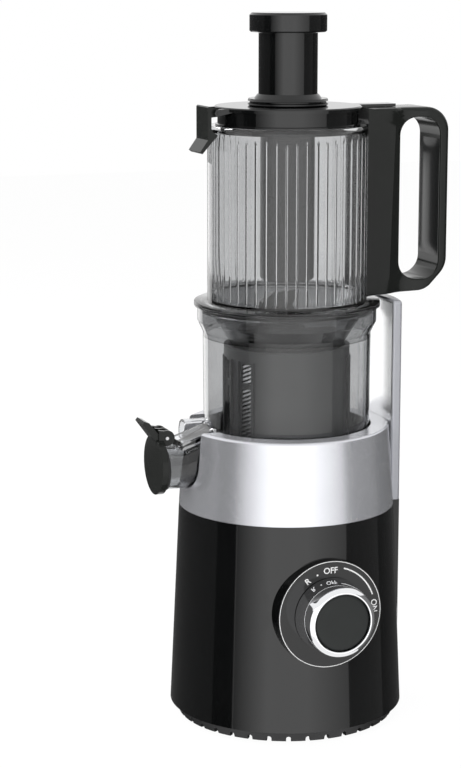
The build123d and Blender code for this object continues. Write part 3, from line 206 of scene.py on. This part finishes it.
def ink_arc(name, inner, outer, start, end):
    """A flat curved stroke of ink on the dial's face."""
    stroke = bmesh.new()
    steps = max(6, int(abs(end - start) / 2.5))
    rows = []
    for i in range(steps + 1):
        clock = start + (end - start) * i / steps
        rows.append([stroke.verts.new(on_dial(radius, clock)) for radius in (inner, outer)])
    for one, two in zip(rows, rows[1:]):
        stroke.faces.new((one[0], one[1], two[1], two[0]))
    data = bpy.data.meshes.new(name)
    stroke.to_mesh(data)
    piece = bpy.data.objects.new(name, data)
    bpy.context.scene.collection.objects.link(piece)
    data.materials.append(white_ink)
    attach(piece, "base")


ink_arc("dial_ring", dial_edge - 0.0009, dial_edge - 0.0004, 0, 360)
ink_arc("dial_speed_bar", 0.0335, 0.0345, 17, 70.5)
ink_arc("dial_dot", 0.0304, 0.0316, -19.9, -17.6)
for label, radius, clock in (("R", 0.0306, -34), ("OFF", 0.0316, 0), ("ON", 0.0334, 85)):
    letters = bpy.data.curves.new("dial_" + label, "FONT")
    letters.body = label
    letters.size = 0.0061
    letters.align_x = "CENTER"
    letters.align_y = "CENTER"
    letters.offset = 0.0001
    letters.materials.append(white_ink)
    word = bpy.data.objects.new("dial_" + label, letters)
    word.location = on_dial(radius, clock)
    word.rotation_euler = (math.radians(90), math.radians(clock), 0)
    bpy.context.scene.collection.objects.link(word)
    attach(word, "base")

# ------------------------------------------------------------------ knob
# A die-cast sleeve, polished and chromed, flared towards the dial and rounded at its shoulder,
# round a recessed cap of satin grey plastic with a bevelled edge.
sleeve_back = 0.084                             # depth that the outlines below are measured from


def spun(name, outline, finish):
    """A closed outline of (radius, depth) in millimetres, turned about the knob's axis."""
    lathe = bmesh.new()
    count, steps = len(outline), 96
    rings = []
    for i in range(steps):
        turn = 2 * math.pi * i / steps
        rings.append([lathe.verts.new((dial_centre[0] + r * math.cos(turn) / 1000,
                                       -sleeve_back - d / 1000,
                                       dial_centre[1] + r * math.sin(turn) / 1000))
                      for r, d in outline])
    for i in range(steps):
        here, there = rings[i], rings[(i + 1) % steps]
        for j in range(count):
            k = (j + 1) % count
            if outline[j][0] > 0 or outline[k][0] > 0:
                lathe.faces.new((here[j], there[j], there[k], here[k]))
    bmesh.ops.remove_doubles(lathe, verts=lathe.verts, dist=1e-7)
    bmesh.ops.recalc_face_normals(lathe, faces=lathe.faces)
    for face in lathe.faces:
        face.smooth = True
    data = bpy.data.meshes.new(name)
    lathe.to_mesh(data)
    data.set_sharp_from_angle(angle=math.radians(38))
    piece = bpy.data.objects.new(name, data)
    bpy.context.scene.collection.objects.link(piece)
    data.materials.append(finish)
    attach(piece, "knob")
    return piece


flare = [(26.7, 0.7), (26.65, 3.0), (26.5, 7.0), (26.2, 11.0), (25.8, 14.5), (25.3, 18.0)]
shoulder = [(24.9, 20.2), (24.7, 21.0), (24.4, 21.5), (24.0, 21.85), (22.4, 22.85), (22.0, 23.05),
            (21.6, 23.18), (21.2, 23.2), (20.9, 23.1), (20.65, 22.8), (20.6, 22.4)]
bore = [(20.6, 20.3), (20.6, 10.0), (20.6, 0.9), (20.8, 0.7)]
sleeve_outline = flare + shoulder + bore
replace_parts(spun("knob_sleeve", sleeve_outline,
                 metal("chrome", (0.86, 0.865, 0.88), 0.05, mottle=0.02, bump=0.0)),
            "knob_ring")

cap_outline = [(0.0, 22.15), (9.0, 22.15), (18.4, 22.15), (18.7, 22.1), (20.2, 20.9), (20.4, 20.6),
               (20.4, 20.3), (9.0, 20.3), (0.0, 20.3)]
satin_cap = moulded("cap_grey", (0.017, 0.019, 0.0185), 0.3, bump=0.02)
satin_cap.node_tree.nodes["Principled BSDF"].inputs["Specular IOR Level"].default_value = 0.22
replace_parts(spun("knob_face", cap_outline, satin_cap), "knob_cap")

# ------------------------------------------------------------------ juice bowl
# Clear smoke-grey copolyester: cup, collar, spout and pulp outlet are one moulding.  The thick
# collar and the spout's channel look darker, and the spout's upward faces are painted almost white,
# a painted reflection of the bright room.


def clear(name, tint):
    """Tinted clear plastic with polished walls."""
    finish = moulded(name, tint, 0.02, bump=0.0, mottle=0.03)
    shader = finish.node_tree.nodes["Principled BSDF"]
    shader.inputs["Transmission Weight"].default_value = 1.0
    shader.inputs["IOR"].default_value = 1.5
    return finish


dress(clear("smoke_bowl", (0.64, 0.645, 0.65)), "juice_bowl")
dress(clear("smoke_collar", (0.42, 0.425, 0.43)), "bowl_collar")
dress(clear("smoke_outlet", (0.8, 0.81, 0.83)), "pulp_outlet")
spout_tint = (0.34, 0.345, 0.35)
smoke_spout = clear("smoke_spout", spout_tint)
spout_nodes, spout_links = smoke_spout.node_tree.nodes, smoke_spout.node_tree.links
# Faces of the spout that look upward fade to near white by their normal: a painted reflection.
slope = spout_nodes.new("ShaderNodeNewGeometry")
slope_parts = spout_nodes.new("ShaderNodeSeparateXYZ")
roof_painted_reflection = spout_nodes.new("ShaderNodeValToRGB")
roof_painted_reflection.color_ramp.elements[0].color = (*spout_tint, 1)
roof_painted_reflection.color_ramp.elements[0].position = 0.7
roof_painted_reflection.color_ramp.elements[1].color = (0.95, 0.96, 0.99, 1)
roof_painted_reflection.color_ramp.elements[1].position = 0.9
spout_links.new(slope.outputs["Normal"], slope_parts.inputs[0])
spout_links.new(slope_parts.outputs["Z"], roof_painted_reflection.inputs["Fac"])
spout_links.new(roof_painted_reflection.outputs["Color"], spout_nodes["Principled BSDF"].inputs["Base Color"])
dress(smoke_spout, "bowl_spout")

# ------------------------------------------------------------------ strainer
# A dark grey plastic frame with panels between its six windows, which hold a fine steel screen
# woven on the slant.
dress(moulded("strainer_grey", (0.052, 0.053, 0.054), 0.34, grain=40.0, bump=0.0, mottle=0.05),
      "strainer_frame")
screen = metal("screen_steel", (0.6, 0.6, 0.6), 0.25, bump=0.0)
screen_nodes, screen_links = screen.node_tree.nodes, screen.node_tree.links
weave = screen_nodes.new("ShaderNodeTexWave")
weave.bands_direction = "DIAGONAL"
weave.inputs["Scale"].default_value = 210.0
threads = screen_nodes.new("ShaderNodeValToRGB")
threads.color_ramp.elements[0].color = (0.02, 0.02, 0.02, 1)
threads.color_ramp.elements[0].position = 0.35
threads.color_ramp.elements[1].color = (0.75, 0.75, 0.76, 1)
threads.color_ramp.elements[1].position = 0.6
screen_links.new(screen_nodes["Texture Coordinate"].outputs["Object"], weave.inputs["Vector"])
screen_links.new(weave.outputs["Fac"], threads.inputs["Fac"])
screen_links.new(threads.outputs["Color"], screen_nodes["Principled BSDF"].inputs["Base Color"])
dress(screen, "strainer_mesh")

# ------------------------------------------------------------------ auger
# A tapering screw of amber-black polymer with a raised wing at its top that draws the food in,
# moulded round the steel drive socket.
dress(moulded("auger_black", (0.03, 0.028, 0.026), 0.35, bump=0.0), "auger", "auger_wing")

# ------------------------------------------------------------------ hopper
# One moulding of clear smoke-grey plastic: a tall round wall with forty-eight slender upright ribs
# inside it, a flange that rests on the bowl, and a funnel that leads the food down to the auger.


def turned(name, outline, steps, swell):
    """A closed outline of (radius, height) in millimetres, turned about the drive axis."""
    lathe = bmesh.new()
    grid = []
    for i in range(steps):
        angle = 2 * math.pi * i / steps
        column = []
        for radius, height in outline:
            radius = swell(radius, height, angle)
            column.append(lathe.verts.new((radius * math.cos(angle) / 1000,
                                           radius * math.sin(angle) / 1000, height / 1000)))
        grid.append(column)
    count = len(outline)
    for i in range(steps):
        here, there = grid[i], grid[(i + 1) % steps]
        for j in range(count):
            k = (j + 1) % count
            lathe.faces.new((here[j], there[j], there[k], here[k]))
    bmesh.ops.recalc_face_normals(lathe, faces=lathe.faces)
    for face in lathe.faces:
        face.smooth = True
    data = bpy.data.meshes.new(name)
    lathe.to_mesh(data)
    data.set_sharp_from_angle(angle=math.radians(32))
    piece = bpy.data.objects.new(name, data)
    bpy.context.scene.collection.objects.link(piece)
    return piece


rib_count, rib_half, rib_height = 48, math.radians(0.8), 0.6
rib_low, rib_high, hopper_bore = 307.0, 422.5, 54.8
steps_per_rib = 20
flange_top = 305.2


def ribbed(radius, height, angle):
    """Moves the inner wall in where a rib stands, and lets the rib run out at its ends."""
    if abs(radius - hopper_bore) > 0.35 or not rib_low < height < rib_high:
        return radius
    pitch = 2 * math.pi / rib_count
    off = abs((angle + pitch / 2) % pitch - pitch / 2) / rib_half
    run_out = min(1.0, (height - rib_low) / 1.6, (rib_high - height) / 3.0)
    return radius - rib_height * max(0.0, 1 - off * off) * run_out


funnel = [(37.2, 271.7), (38.6, 271.7), (39.0, 272.1), (39.4, 273.2), (56.4, 299.5)]
flange = [(57.0, 299.4), (59.4, 297.9), (60.0, 297.7), (61.2, 297.7), (61.6, 298.1), (61.6, 303.4),
          (61.9, 303.7), (66.0, 303.7), (66.4, 303.9), (66.6, 304.3), (66.6, 304.6), (66.4, 305.0),
          (66.0, flange_top), (57.7, flange_top), (57.2, 305.4)]
outer_wall = [(57.0, z) for z in (305.9, 340.0, 380.0, 415.0, 427.3)]
mouth = [(56.8, 428.1), (55.8, 429.3), (55.2, 429.7), (50.7, 429.7), (50.4, 429.4), (50.4, 427.7),
         (54.8, 425.2)]
inner_wall = [(hopper_bore, z) for z in (422.6, 422.0, 421.0, 420.0, 419.0, 416.0, 400.0, 375.0,
                                         350.0, 330.0, 320.2, 312.0, 308.8, 308.0, 307.2, 306.8)]
hopper_outline = funnel + flange + outer_wall + mouth + inner_wall + [(53.8, 305.6)]
hopper_wall = turned("hopper_wall", hopper_outline, rib_count * steps_per_rib, ribbed)
hopper_wall.data.materials.append(clear("smoke_hopper", (0.71, 0.715, 0.72)))
hopper_wall.data.materials.append(clear("smoke_funnel", (0.4, 0.405, 0.41)))
for panel in hopper_wall.data.polygons:
    panel.material_index = 1 if panel.center.z < flange_top / 1000 else 0
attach(hopper_wall, "hopper")
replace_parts(hopper_wall, "hopper", "hopper_funnel")

# ------------------------------------------------------------------ handle
# Two half shells of near-black gloss plastic, welded along the middle.  Its broad flat cheek ends
# in a slanted crease, from which a cove runs in to the hand opening; its outer edges are rounded.
handle_left, handle_right, handle_low, handle_high = 57.15, 118.0, 306.6, 441.0
hole_left, hole_right, hole_low, hole_high, hole_round = 81.0, 111.0, 317.3, 434.0, 13.5
half_width, edge_radius, cove_depth = 18.0, 3.0, 3.2
outer_round = 17.0                              # radius of the grip's two outer corners
low_corner = 332.6                              # where the lower outer corner meets the grip
cheek = handle_left - 2.9                       # the mount's wall at the handle's two sides
cove_end, cove_fade = 101.0, 16.0               # where the cove has run out, and over what length


def arc(cx, cz, radius, start, end, steps):
    """Points of a circular arc in side view, without its last point."""
    angles = [math.radians(start + (end - start) * i / steps) for i in range(steps)]
    return [(cx + radius * math.cos(a), cz + radius * math.sin(a)) for a in angles]


def run(start, end, steps):
    """Points of a straight run, without its last point."""
    return [(start[0] + (end[0] - start[0]) * i / steps, start[1] + (end[1] - start[1]) * i / steps)
            for i in range(steps)]


inner_right, inner_left = hole_right - hole_round, hole_left + hole_round
inner_high, inner_low = hole_high - hole_round, hole_low + hole_round
hand_hole = run((hole_right, inner_low), (hole_right, inner_high), 12) \
    + arc(inner_right, inner_high, hole_round, 0, 90, 12) \
    + run((inner_right, hole_high), (inner_left, hole_high), 2) \
    + arc(inner_left, inner_high, hole_round, 90, 180, 12) \
    + run((hole_left, inner_high), (hole_left, inner_low), 14) \
    + arc(inner_left, inner_low, hole_round, 180, 270, 12) \
    + run((inner_left, hole_low), (inner_right, hole_low), 2) \
    + arc(inner_right, inner_low, hole_round, 270, 360, 12)
outer_x, outer_z = handle_right - outer_round, handle_high - outer_round
rim = run((handle_right, low_corner), (handle_right, outer_z), 12) \
    + arc(outer_x, outer_z, outer_round, 0, 90, 12) \
    + run((outer_x, handle_high), (93.0, handle_high), 2) \
    + run((93.0, handle_high), (cheek, handle_high), 9) \
    + run((cheek, handle_high), (cheek, 432.0), 3) \
    + run((cheek, 432.0), (cheek, 316.0), 14) \
    + run((cheek, 316.0), (cheek, handle_low), 3) \
    + run((cheek, handle_low), (90.5, 308.3), 9) \
    + run((90.5, 308.3), (94.0, 308.5), 2) \
    + arc(94.1, 325.5, outer_round, 270, 315, 6) \
    + arc(outer_x, low_corner, outer_round, 315, 360, 6)


def crease(z):
    """Where the flat cheek ends, at a height."""
    return 71.5 + 4.6 * (z - handle_low) / (handle_high - handle_low)


def cheek_depth(x, z):
    """How far the handle's side stands out from its middle plane."""
    into = min(1.0, max(0.0, (x - crease(z)) / (hole_left - crease(z))))
    fade = min(1.0, max(0.0, (cove_end - x) / cove_fade))
    return half_width - cove_depth * into * fade


grip = bmesh.new()
sections = []
for (hx, hz), (rx, rz) in zip(hand_hole, rim):
    length = math.hypot(rx - hx, rz - hz)
    ux, uz = (rx - hx) / length, (rz - hz) / length
    on_mount = rx < cheek + 0.01
    fold = length * 0.5                         # how far out from the hand hole the crease lies
    if on_mount and hx - rx > 12:
        fold = (hx - crease(hz)) / (hx - rx) * length
    fold = min(max(fold, 2.5), length - 4.0)
    steps = [1.0, 1.0 + (fold - 1.0) * 0.5, fold, (fold + length - edge_radius) / 2,
             length - edge_radius]
    near = [(0.0, 1.3), (0.35, 0.35)] + [(d, 0.0) for d in steps]
    near += [(length - edge_radius * (1 - math.sin(math.radians(a))),
              edge_radius * (1 - math.cos(math.radians(a)))) for a in (22.5, 45, 67.5, 90)]
    side = []
    for d, drop in near:
        x, z = hx + ux * d, hz + uz * d
        depth = cheek_depth(x, z) - drop
        if on_mount and d > length - edge_radius + 0.01:
            x, z = math.sqrt(handle_left ** 2 - depth ** 2), rz
        side.append((x, depth, z))
    ring = [(x, -y, z) for x, y, z in side] + [(x, y, z) for x, y, z in reversed(side)]
    sections.append([grip.verts.new((x / 1000, y / 1000, z / 1000)) for x, y, z in ring])
for i in range(len(sections)):
    here, there = sections[i], sections[(i + 1) % len(sections)]
    for j in range(len(here)):
        k = (j + 1) % len(here)
        grip.faces.new((here[j], here[k], there[k], there[j]))
bmesh.ops.recalc_face_normals(grip, faces=grip.faces)
for face in grip.faces:
    face.smooth = True
grip_data = bpy.data.meshes.new("handle_shell")
grip.to_mesh(grip_data)
grip_data.set_sharp_from_angle(angle=math.radians(17))
handle_shell = bpy.data.objects.new("handle_shell", grip_data)
bpy.context.scene.collection.objects.link(handle_shell)
handle_gloss = moulded("handle_gloss", (0.0095, 0.0105, 0.0095), 0.14,
                       grain=60.0, bump=0.0, mottle=0.06)
handle_gloss.node_tree.nodes["Principled BSDF"].inputs["Specular IOR Level"].default_value = 0.22
grip_data.materials.append(handle_gloss)
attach(handle_shell, "hopper")
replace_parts(handle_shell, "hopper_handle")

# ------------------------------------------------------------------ grip pad
# The grip's inner face carries a crowned pad of the same black, moulded in a slightly softer grade
# and pressed into a seat in the handle.
pad_low, pad_high, pad_half, pad_crown = 333.4, 417.9, 16.0, 2.2
pad_rows_count, pad_columns = 28, 24
pad = bmesh.new()
pad_rows = []
for i in range(pad_rows_count + 1):
    z = pad_low + (pad_high - pad_low) * i / pad_rows_count
    end = min(1.0, min(i, pad_rows_count - i) / 3.0)
    row = []
    for j in range(pad_columns + 1):
        y = -pad_half + 2 * pad_half * j / pad_columns
        rise = pad_crown * (1 - (y / pad_half) ** 2) * math.sin(end * math.pi / 2)
        row.append(pad.verts.new(((hole_right - 0.02 - rise) / 1000, y / 1000, z / 1000)))
    pad_rows.append(row)
for one, two in zip(pad_rows, pad_rows[1:]):
    for j in range(pad_columns):
        pad.faces.new((one[j], two[j], two[j + 1], one[j + 1]))
solid_pad = bmesh.ops.extrude_face_region(pad, geom=list(pad.faces))
for corner in [v for v in solid_pad["geom"] if isinstance(v, bmesh.types.BMVert)]:
    corner.co.x = (hole_right + 0.9) / 1000
bmesh.ops.recalc_face_normals(pad, faces=pad.faces)
for face in pad.faces:
    face.smooth = True
pad_data = bpy.data.meshes.new("grip_pad")
pad.to_mesh(pad_data)
pad_data.set_sharp_from_angle(angle=math.radians(35))
grip_pad = bpy.data.objects.new("grip_pad", pad_data)
bpy.context.scene.collection.objects.link(grip_pad)
grip_soft = moulded("grip_soft", (0.012, 0.0125, 0.0125), 0.2, grain=40.0, bump=0.0)
grip_soft.node_tree.nodes["Principled BSDF"].inputs["Specular IOR Level"].default_value = 0.3
pad_data.materials.append(grip_soft)
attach(grip_pad, "hopper")
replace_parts(grip_pad, "grip_insert")

# ------------------------------------------------------------------ spout cap and latch
# Two small levers in the handle's plastic: the flap that closes the spout, with its ribbed thumb
# lever, and the bent plate that holds the lid down.
dress(handle_gloss, "lid_latch", "spout_cap")

# ------------------------------------------------------------------ lid and pusher
# The lid with its feed tube, the ring round that tube, and the hollow pusher with its round cap are
# polished black like the base.
dress(gloss_black, "lid", "chute_ring", "pusher", "pusher_cap")

# ------------------------------------------------------------------ floor and room
# A pale paper floor and a white room.  Both show as white straight on, in gloss and through clear
# plastic, and light the object at a plain level; the floor keeps its shadow.


def bright_rays(nodes, links):
    """One where a camera, glossy or transmission ray looks, and nought for the light itself."""
    path = nodes.new("ShaderNodeLightPath")
    first = nodes.new("ShaderNodeMath")
    first.operation = "ADD"
    links.new(path.outputs["Is Camera Ray"], first.inputs[0])
    links.new(path.outputs["Is Glossy Ray"], first.inputs[1])
    second = nodes.new("ShaderNodeMath")
    second.operation = "ADD"
    second.use_clamp = True
    links.new(first.outputs[0], second.inputs[0])
    links.new(path.outputs["Is Transmission Ray"], second.inputs[1])
    return second.outputs[0]


white = bpy.data.materials.new("paper_floor")
white.use_nodes = True
paper_nodes, paper_links = white.node_tree.nodes, white.node_tree.links
paper = paper_nodes["Principled BSDF"]
paper.inputs["Base Color"].default_value = (0.88, 0.88, 0.88, 1)
paper.inputs["Roughness"].default_value = 0.9
glow = paper_nodes.new("ShaderNodeEmission")
glow.inputs["Strength"].default_value = 1.02
glow_share = paper_nodes.new("ShaderNodeMath")
glow_share.operation = "MULTIPLY"
glow_share.inputs[1].default_value = 0.94
paper_links.new(bright_rays(paper_nodes, paper_links), glow_share.inputs[0])
blend = paper_nodes.new("ShaderNodeMixShader")
paper_links.new(glow_share.outputs[0], blend.inputs[0])
paper_links.new(paper.outputs[0], blend.inputs[1])
paper_links.new(glow.outputs[0], blend.inputs[2])
paper_links.new(blend.outputs[0], paper_nodes["Material Output"].inputs["Surface"])
floor_mesh = bmesh.new()
bmesh.ops.create_grid(floor_mesh, x_segments=8, y_segments=8, size=4.0)
floor_data = bpy.data.meshes.new("studio_floor")
floor_mesh.to_mesh(floor_data)
floor = bpy.data.objects.new("studio_floor", floor_data)
floor.data.materials.append(white)
bpy.context.scene.collection.objects.link(floor)
floor.visible_glossy = False

world = bpy.data.worlds.new("studio")
bpy.context.scene.world = world
world.use_nodes = True
room_nodes, room_links = world.node_tree.nodes, world.node_tree.links
room = room_nodes["Background"]
room.inputs["Color"].default_value = (0.8, 0.8, 0.8, 1)
room.inputs["Strength"].default_value = 0.55
backdrop = room_nodes.new("ShaderNodeBackground")
backdrop.inputs["Color"].default_value = (1, 1, 1, 1)
backdrop.inputs["Strength"].default_value = 1.0
pick = room_nodes.new("ShaderNodeMixShader")
room_links.new(bright_rays(room_nodes, room_links), pick.inputs[0])
room_links.new(room.outputs[0], pick.inputs[1])
room_links.new(backdrop.outputs[0], pick.inputs[2])
room_links.new(pick.outputs[0], room_nodes["World Output"].inputs["Surface"])

# ------------------------------------------------------------------ cards
# Tall bent cards stand round the machine, as in a shop picture of a black one.  Only gloss sees
# them: they draw the upright bright and dark bands in the shell, the band and the pusher.
card_front = -112                               # bearing of the camera, which the others count from


def card(name, start, end, level, end_level=None, distance=1.1, low=-1.2, high=0.5):
    """A card from one bearing to another, of one brightness or changing towards its end."""
    sheet = bmesh.new()
    steps = max(2, int(abs(end - start) / 3))
    columns = []
    for i in range(steps + 1):
        bearing = math.radians(card_front + start + (end - start) * i / steps)
        x, y = distance * math.cos(bearing), distance * math.sin(bearing)
        columns.append((sheet.verts.new((x, y, low)), sheet.verts.new((x, y, high))))
    for one, two in zip(columns, columns[1:]):
        sheet.faces.new((one[0], two[0], two[1], one[1]))
    data = bpy.data.meshes.new(name)
    sheet.to_mesh(data)
    board = bpy.data.objects.new(name, data)
    bpy.context.scene.collection.objects.link(board)
    face = bpy.data.materials.new(name)
    face.use_nodes = True
    nodes, links = face.node_tree.nodes, face.node_tree.links
    light = nodes.new("ShaderNodeEmission")
    light.inputs["Color"].default_value = (1, 1, 1, 1)
    light.inputs["Strength"].default_value = level
    if end_level is not None:
        place = nodes.new("ShaderNodeTexCoord")
        sweep = nodes.new("ShaderNodeTexGradient")
        sweep.gradient_type = "RADIAL"
        fade = nodes.new("ShaderNodeMapRange")
        fade.inputs["From Min"].default_value = (start + card_front) / 360 + 0.5
        fade.inputs["From Max"].default_value = (end + card_front) / 360 + 0.5
        fade.inputs["To Min"].default_value = level
        fade.inputs["To Max"].default_value = end_level
        links.new(place.outputs["Object"], sweep.inputs["Vector"])
        links.new(sweep.outputs["Fac"], fade.inputs["Value"])
        links.new(fade.outputs["Result"], light.inputs["Strength"])
    links.new(light.outputs[0], nodes["Material Output"].inputs["Surface"])
    data.materials.append(face)
    board.visible_camera = board.visible_diffuse = board.visible_shadow = False
    board.visible_transmission = board.visible_volume_scatter = False


card("dark_card_left", -74, -51, 0.0)
card("grey_card_left", -168, -74, 0.1)
card("bright_card_rising", -51, -17, 0.35, end_level=1.85, distance=1.9, high=0.75)
card("bright_card", -17, 22, 1.85, distance=1.9, high=0.75)
card("bright_card_falling", 22, 64, 1.85, end_level=0.9, distance=1.9, high=0.75)
card("grey_card_right", 64, 110, 0.2)
card("dim_card_right", 110, 168, 0.08)
card("column_card", -158, -132, 1.35, distance=0.5, low=0.1, high=0.36)

# ------------------------------------------------------------------ lamps and camera
# Broad round lamps on both sides, above and behind, all turned to the machine's middle, and a long
# lens at its front left, a little above it.
for name, place, size, energy in (("left_lamp", (-1.6, -1.2, 1.3), 1.4, 32),
                                  ("right_lamp", (1.5, -1.6, 1.5), 1.4, 7),
                                  ("top_lamp", (0.1, -0.3, 2.2), 1.6, 20),
                                  ("back_lamp", (-0.9, 1.4, 1.2), 1.2, 20)):
    bulb = bpy.data.lights.new(name, "AREA")
    bulb.shape = "DISK"
    bulb.size = size
    bulb.energy = energy
    lamp = bpy.data.objects.new(name, bulb)
    lamp.location = place
    aim = Vector((0, 0, 0.25)) - Vector(place)
    lamp.rotation_euler = aim.to_track_quat("-Z", "Y").to_euler()
    lamp.visible_camera = False
    lamp.visible_glossy = False
    bpy.context.scene.collection.objects.link(lamp)

camera_data = bpy.data.cameras.new("camera")
camera_data.sensor_fit = "VERTICAL"
camera_data.sensor_height = 36.0
camera_data.lens = 100.24
camera = bpy.data.objects.new("camera", camera_data)
camera.location = (-0.568, -1.406, 0.541)
camera.rotation_euler = (math.radians(78.89), 0, math.radians(-20.47))
bpy.context.scene.collection.objects.link(camera)
bpy.context.scene.camera = camera
bpy.context.scene.view_settings.view_transform = "Standard"
